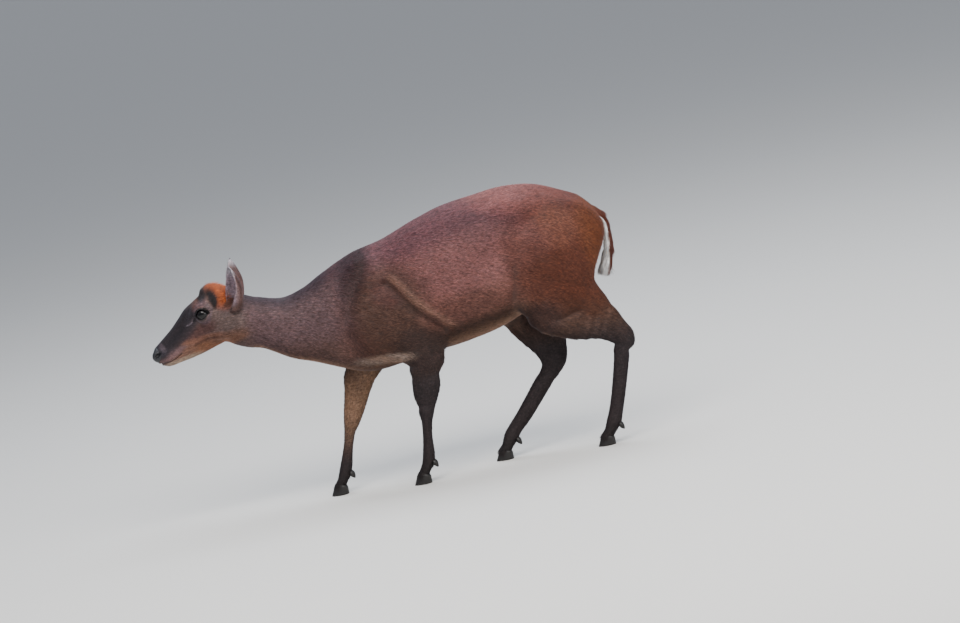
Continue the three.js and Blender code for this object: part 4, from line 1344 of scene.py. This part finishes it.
def unwrap_ear(side):
    def unwrap(p):
        across, back, up = in_ear(p, side)
        half, depth = read_rows(EAR_ROWS, np.clip(up / EAR_LONG, 0, 1))[:, 1:3].T
        outer = np.hypot(across / half, back / depth) > 0.93
        v = 0.25 + 0.22 * (across / half).clip(-1, 1) + 0.5 * outer
        return np.stack([stretch(up), v], 1)
    return unwrap


# Sizes of the hair: length, width and stand by the part of the body

HAIR = {"trunk": 14, "belly": 18, "rump": 17, "neck": 12, "upper_leg": 8, "lower_leg": 6.5,
        "muzzle": 3.2, "cheek": 7.5, "eyelid": 2.2, "over_hoof": 8.5}
# Tufts to a square millimetre of the body's skin, by their length
LENGTHS = [2.2, 3.2, 5, 8, 12, 18]
TUFTS = [2.15, 1.66, 1.13, 0.7, 0.35, 0.255]
CROWN_TUFTS = 1.4
EAR_TUFTS = 1.1
TAIL_TUFTS = 1.5
SEEDS = {"body": 11, "crown": 23, "ear": 31, "tail": 41}


def from_eye(p):
    """How far points lie from the nearer eye, at the side of the head."""
    x, z = eye_centre(LEFT)[[0, 2]]
    return np.hypot(p[:, 0] - x, p[:, 2] - z)


def coat_sizes(p, n):
    x, _, z = p.T
    along, _ = to_frame(p, HEAD)
    long = np.full(len(p), float(HAIR["trunk"]))
    long = blend(long, HAIR["belly"], ease(-n[:, 2], 0.4, 0.9) * ease(z, 230, 270))
    long = blend(long, HAIR["rump"], ease(x, 400, 450))
    long = blend(long, HAIR["neck"], fade(x, -160, -60))
    long = blend(long, HAIR["upper_leg"], fade(z, 190, 290))
    long = blend(long, HAIR["lower_leg"], fade(z, 60, 150))
    head = fade(along, 170, 230) * (x < -270)
    on_head = blend(HAIR["muzzle"], HAIR["cheek"], ease(along, 40, 170))
    long = blend(long, on_head, head)
    long = blend(long, HAIR["eyelid"], fade(from_eye(p), 10, 24) * head)
    wide = blend(0.7, 1.25, ease(long, 4, 13))
    stand = blend(0.26, 0.2, ease(long, 5, 13))
    over_hoof = fade(z, 26, 38)
    return blend(long, HAIR["over_hoof"], over_hoof), wide, blend(stand, 0.45, over_hoof)


def coat_density(p):
    long, _, _ = coat_sizes(p, np.zeros_like(p))
    return np.interp(long, LENGTHS, TUFTS)


def evenly(density):
    return lambda p: np.full(len(p), density)


def on_ear(p):
    near = (p[:, 0] < -200) & (p[:, 2] > 435) & (np.abs(p[:, 1]) > 18)
    near[near] = in_chunks(skin_distance, p[near]) > 2.2
    return near


PAIRED_COATS = ("barrel", "haunch", "fore_leg", "hind_leg", "head")
COAT_NAMES = ["coat_neck", "coat_shoulders"]
COAT_NAMES += [f"coat_{part}_{label}" for part in PAIRED_COATS for label, _ in SIDES]


def piece_of(p):
    """The coat piece that each root belongs to, by its place among the names."""
    x, y, z = p.T
    along, _ = to_frame(p, HEAD)
    which = np.where(x > -100, 1, 0)
    barrel, haunch, head = x > 80, x > 270, (along < 198) & (x < -280)
    fore_leg, hind_leg = (z < 238) & (x < 120), (z < 275) & (x > 120)
    for number, test in enumerate((barrel, haunch, fore_leg, hind_leg, head)):
        which[test] = 2 + 2 * number + (y[test] >= 0)
    return which


def unwrap_for(name):
    if "head" in name:
        return unwrap_head
    for leg, form in LEGS.items():
        place, side = leg.split("_")
        if name == f"coat_{place}_leg_{side}":
            return unwrap_chain(form["chain"], form["side"])
    return unwrap_trunk


def grow_body_coat(p, n, faces, finish):
    keep = ~on_ear(p[faces].mean(1))
    root, rise, rng = sow(p, n, faces[keep], coat_density, SEEDS["body"])
    clear = bare_places(root)
    root, rise = root[~clear], rise[~clear]
    lie = flat_on(coat_lie(root, rise), rise)
    long, wide, stand = coat_sizes(root, rise)
    long = long * rng.normal(1, 0.12, len(long)).clip(0.7, 1.4)
    tints = paint(root, rise)
    which = piece_of(root)
    for number, name in enumerate(COAT_NAMES):
        own = which == number
        parts = make_tufts(root[own], rise[own], lie[own], long[own], wide[own], stand[own], rng)
        build_coat(name, parts, unwrap_for(name)(root[own]), tints[own], finish)


def bare_places(p):
    """Where no hair grows: the edge of the lids, the gland's slit, the lips' line and the nose."""
    bare = p[:, 2] < 14
    face = p[:, 0] < -330
    q = p[face]
    near = line_distance(q[:, 0], q[:, 2], MOUTH) < 1.6
    near |= (line_distance(q[:, 0], q[:, 2], GLAND) < 1.5) & (np.abs(q[:, 1]) > 12)
    near |= off_nose(q) < 1.0
    for _, side in SIDES:
        local = in_eye(q, side)
        near |= (local[:, 1] > 0) & (almond(local) < 2.2)
    bare[face] = near
    return bare


# The crown: bristly hair from the brow back between the ears

CROWN = {"first": 140, "last": 212, "low": -4, "wide": 0.85}


def grow_crown(p, n, faces, finish):
    middle = p[faces].mean(1)
    along, up = to_frame(middle, HEAD)
    chosen = (along > CROWN["first"]) & (along < CROWN["last"]) & (up > CROWN["low"])
    chosen &= (middle[:, 0] < -260) & ~on_ear(middle)
    root, rise, rng = sow(p, n, faces[chosen], evenly(CROWN_TUFTS), SEEDS["crown"])
    along, up = to_frame(root, HEAD)
    full = ease(up, CROWN["low"], 18) * ease(along, CROWN["first"], CROWN["first"] + 11)
    front = fade(along, 152, 180)
    long = blend(6, blend(19, 7.5, front), full) * rng.normal(1, 0.14, len(root)).clip(0.6, 1.4)
    lie = flat_on(HEAD_BACK + np.array([0, 0, -0.1]), rise)
    stand = blend(0.25, blend(1.0, 2.2, front), full)
    parts = make_tufts(root, rise, lie, long, CROWN["wide"], stand, rng, bend=True)
    build_coat("coat_crown", parts, unwrap_head(root), paint(root, rise), finish)


def grow_ear_coat(label, side, finish):
    points, faces = make_ear(side)
    mesh = mesh_from("ear_form", points, faces)
    p = get_points(mesh)
    faces, n = triangles_of(mesh)
    faces = faces[in_chunks(skin_distance, p[faces].mean(1)) > -0.5]
    root, rise, rng = sow(p, n, faces, evenly(EAR_TUFTS), SEEDS["ear"] + side)
    _, _, up = in_ear(root, side)
    way = place_in_ear(np.zeros(2), np.zeros(2), np.array([0.0, 1.0]), side)
    lie = flat_on(np.repeat(unit(way[1] - way[0])[None], len(root), 0), rise)
    vary = rng.normal(1, 0.15, len(root)).clip(0.6, 1.5)
    long = blend(7.0, 4.0, ease(up / EAR_LONG, 0.3, 1.0)) * vary
    parts = make_tufts(root, rise, lie, long, 0.8, 0.24, rng)
    tints = paint_ear(root, rise, side)
    build_coat(f"coat_ear_{label}", parts, unwrap_ear(side)(root), tints, finish)
    bpy.data.meshes.remove(mesh)


def grow_tail(p, n, faces, finish):
    middle = p[faces].mean(1)
    near = (middle[:, 0] > 455) & (middle[:, 2] < 492) & (middle[:, 2] > 350)
    gap = np.full(len(middle), 99.0)
    gap[near] = chain_distance(*middle[near].T, TAIL_CORE)
    root, rise, rng = sow(p, n, faces[gap < 3], evenly(TAIL_TUFTS), SEEDS["tail"])
    hind = tail_behind(root)
    low = fade(root[:, 2], 380, 470)
    long = blend(20, 36, low) * rng.normal(1, 0.14, len(root)).clip(0.6, 1.3)
    long = np.minimum(long, (root[:, 2] - 338).clip(8, 60))
    way = chain_heading(root, TAIL_CORE)
    ahead = chain_heading(root + way * (0.7 * long)[:, None], TAIL_CORE)
    lie = unit(flat_on(ahead, rise) + 0.25 * ahead)
    stand = blend(blend(0.5, 0.8, low), 0.06, ease(hind, -4, 2))
    tints = blend(TAIL_UNDER, TAIL_TOP, ease(hind - 0.8 * low, -2.2, -0.2)[:, None])
    parts = make_tufts(root, rise, lie, long, 0.95, stand, rng, bend=True, stray=0.06)
    uv = unwrap_chain(TAIL_CORE, 1)(root)
    build_coat("coat_tail_hair", parts, uv, tints, finish)


# Materials

HAIR_SHEEN = colour("c9cfe0")


def make_hair_finish(name, grain):
    finish = Finish(name, Roughness=0.62, Sheen_Weight=0.07, Sheen_Roughness=0.45,
                    Sheen_Tint=HAIR_SHEEN, Specular_IOR_Level=0.27)
    tint = finish.attribute("tint")
    mottle = finish.noise(finish.place(), 38, 3) * 0.5 + 0.75
    streaks = finish.noise(finish.place((150, 330, 330)), 1.0, 2) * grain + (1 - grain / 2)
    finish.set("Base Color", finish.mix(1.0, tint, mottle * streaks, "MULTIPLY"))
    finish.set("Roughness", finish.noise(finish.place(), 60) * 0.2 + 0.5)
    return finish


def make_skin_finish():
    finish = Finish("skin", Sheen_Weight=0.2, Sheen_Roughness=0.5, Sheen_Tint=HAIR_SHEEN,
                    Specular_IOR_Level=0.3)
    tint = finish.attribute("tint")
    strands = finish.noise(finish.place((90, 320, 320)), 2.4, 4)
    finish.set("Base Color", finish.mix(1.0, tint, strands * 0.6 + 0.6, "MULTIPLY"))
    finish.set("Roughness", strands * 0.2 + 0.6)
    finish.set("Normal", finish.bump(strands, 0.5, 0.0015))
    return finish


def make_nose_finish():
    finish = Finish("nose_leather", Specular_IOR_Level=0.6)
    settings = {"feature": "DISTANCE_TO_EDGE"}
    pebbles = finish.node("ShaderNodeTexVoronoi", settings, {"Vector": finish.place(), "Scale": 900})
    raised = pebbles.math("MINIMUM", 0.12) * 8
    finish.set("Base Color", finish.mix(raised, colour("040305"), colour("121118")))
    finish.set("Roughness", raised * 0.14 + 0.2)
    finish.set("Normal", finish.bump(raised, 0.5, 0.0004))
    return finish


def make_horn_finish():
    finish = Finish("hoof_horn", Specular_IOR_Level=0.45)
    rings = finish.noise(finish.place((40, 40, 900)), 1.0, 3)
    finish.set("Base Color", finish.mix(rings, colour("090707"), colour("1c1714")))
    finish.set("Roughness", rings * 0.3 + 0.35)
    finish.set("Normal", finish.bump(rings, 0.4, 0.0005))
    return finish


PUPIL = (5.6, 3.4)  # half length and half height
IRIS = (9.8, 9.2)


def oval_size(x, z, oval):
    """How far out a place is, as a share of an oval's size."""
    return ((x / oval[0]) ** 2 + (z / oval[1]) ** 2).math("SQRT")


def make_eye_finish():
    finish = Finish("eye", Specular_IOR_Level=0.36)
    gaze = finish.attribute("gaze", out=1)
    x, z = gaze.part(0), gaze.part(2)
    off_pupil = finish.ramp(oval_size(x, z, PUPIL), 0.92, 1.0)
    off_iris = finish.ramp(oval_size(x, z, IRIS), 0.85, 1.0)
    rays = finish.noise(gaze, 1.2, 4)
    brown = finish.mix(rays, colour("050304"), colour("120b0a"))
    iris = finish.mix(off_pupil, colour("030303"), brown)
    finish.set("Base Color", finish.mix(off_iris, iris, colour("080606")))
    finish.set("Roughness", rays * 0.04 + 0.03)
    return finish


# Eyes, nose and hooves


def make_ball(columns, rows, radius):
    net = bmesh.new()
    bmesh.ops.create_uvsphere(net, u_segments=columns, v_segments=rows, radius=radius)
    mesh = bpy.data.meshes.new("ball")
    net.to_mesh(mesh)
    net.free()
    return mesh


def make_eye(label, side, finish):
    mesh = make_ball(48, 32, EYE_RADIUS)
    ball = get_points(mesh)
    local = ball[:, [0, 2, 1]] * (1, 1, -1)
    cornea = 0.9 * ease(local[:, 1] / EYE_RADIUS, 0.74, 0.9)
    local = local * (1 + cornea / EYE_RADIUS)[:, None]
    set_points(mesh, (local @ EYE_TURN.T) * (1, side, 1) + eye_centre(side))
    if side == LEFT:
        mesh.flip_normals()
    gaze = mesh.attributes.new("gaze", "FLOAT_VECTOR", "POINT")
    gaze.data.foreach_set("vector", local.ravel())
    finish_piece(f"eyeball_{label}", mesh, finish, [f"eye_{label}"])


HOOF = {"sole": 19, "crown": 12.5, "sole_wide": 13, "crown_wide": 12.6, "lead": 6.5, "split": 0.8}
CORONETS = {
    # x, distance from her middle, z, slope of the hoof's top
    "fore_left": (8, 39, 22, -22), "fore_right": (-167, 39, 22, -22),
    "hind_left": (395, 41, 21, -22), "hind_right": (183, 41, 21, -22),
}
FETLOCK = -3  # the joint above the dewclaws, from the end of a leg's chain
DEWCLAW = (5.3, 5.3, 8.8)
DEWCLAW_SLANT = -30 * DEG
NOSE_BOX = ((-500, -24, 330), (-465, 24, 395))
NOSE_STEP = 0.8


def make_hoof(leg, claw, way, finish):
    x, out, z, slope = CORONETS[leg]
    side = LEGS[leg]["side"]
    t = np.linspace(0, 1, 22)[:, None]
    angle = np.linspace(0, 2 * math.pi, 48, endpoint=False)[None]
    tuck = 0.9 * np.exp(-t / 0.03) + 1.8 * np.exp(-(1 - t) / 0.1)
    rings = 0.22 * np.sin(t * 40) * ease(t, 0.1, 0.3)
    long = blend(HOOF["sole"], HOOF["crown"], t ** 0.8) - tuck + rings
    wide = blend(HOOF["sole_wide"], HOOF["crown_wide"], t) - tuck + rings
    px = x - HOOF["lead"] * (1 - t) + long * np.cos(angle)
    swell = wide * (1 + 0.24 * np.cos(angle)) * np.sin(angle)
    across = HOOF["split"] + np.where(swell > 0, swell, 0.35 * np.sin(angle) * tuck)
    top = z + (px - x) * math.tan(slope * DEG) - 0.15
    tube = np.stack([px, (out + way * across) * side, top * t], -1)
    mesh = mesh_from("hoof", *close_tube(tube))
    finish_piece(f"claw_{leg}_{claw}", mesh, finish, [f"{leg}_hoof_{claw}"])


def make_dewclaw(leg, claw, way, finish):
    x, out, z, deep, _ = LEGS[leg]["chain"][FETLOCK]
    side = LEGS[leg]["side"]
    mesh = make_ball(24, 16, 1)
    bead = get_points(mesh)
    narrow = blend(0.72, 1.0, ease(bead[:, 2], -1, 0.2))[:, None]
    bead = bead * DEWCLAW * np.concatenate([narrow, narrow, np.ones_like(narrow)], 1)
    place = (x + deep - 2, (out + way * 8.5) * side, z - 12)
    bead = bead @ turn_matrix("Y", DEWCLAW_SLANT).T + place
    set_points(mesh, bead)
    finish_piece(f"back_claw_{leg}_{claw}", mesh, finish, [f"{leg}_dewclaw_{claw}"])


def make_nose(finish):
    points, faces = surface_net(pad_distance, *NOSE_BOX, NOSE_STEP)
    mesh = mesh_from("nose", points, faces)
    shape_net(mesh, pad_distance, 1)
    finish_piece("nose_pad_leather", mesh, finish, ["nose_pad"])


def is_bare(name):
    """Whether a node has no hair, and so keeps a piece of its own."""
    return any(word in name for word in ("hoof", "dewclaw", "eye", "nose"))


def make_skin_with_ears():
    skin = unite(make_skin(), [mesh_from("ear", *make_ear(side)) for _, side in SIDES])
    soften_ear_roots(skin)
    return skin


SKIN_UNDER_HAIR = 0.8  # how bright the skin is beside the hair that covers it


def paint_skin(mesh, p, n):
    tints = paint(p, n)
    ears = on_ear(p)
    for _, side in SIDES:
        own = ears & (p[:, 1] * side > 0)
        tints[own] = paint_ear(p[own], n[own], side)
    add_tint(mesh, tints * SKIN_UNDER_HAIR)


def grow_coat(p, n, faces):
    hair = make_hair_finish("hair", 2.1)
    grow_body_coat(p, n, faces, hair)
    grow_crown(p, n, faces, hair)
    grow_tail(p, n, faces, make_hair_finish("tail_hair", 0.5))
    for label, side in SIDES:
        grow_ear_coat(label, side, hair)


def make_feet():
    horn = make_horn_finish()
    for leg in LEGS:
        for claw, way in (("inner", -1), ("outer", 1)):
            make_hoof(leg, claw, way, horn)
            make_dewclaw(leg, claw, way, horn)


# The whole animal

skin_mesh = make_skin_with_ears()
skin_points = get_points(skin_mesh)
skin_faces, skin_normals = triangles_of(skin_mesh)
paint_skin(skin_mesh, skin_points, skin_normals)
grow_coat(skin_points, skin_normals, skin_faces)
covered = [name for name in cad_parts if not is_bare(name)]
finish_piece("skin", skin_mesh, make_skin_finish(), covered)
make_nose(make_nose_finish())
eye_finish = make_eye_finish()
for label, side in SIDES:
    make_eye(label, side, eye_finish)
make_feet()
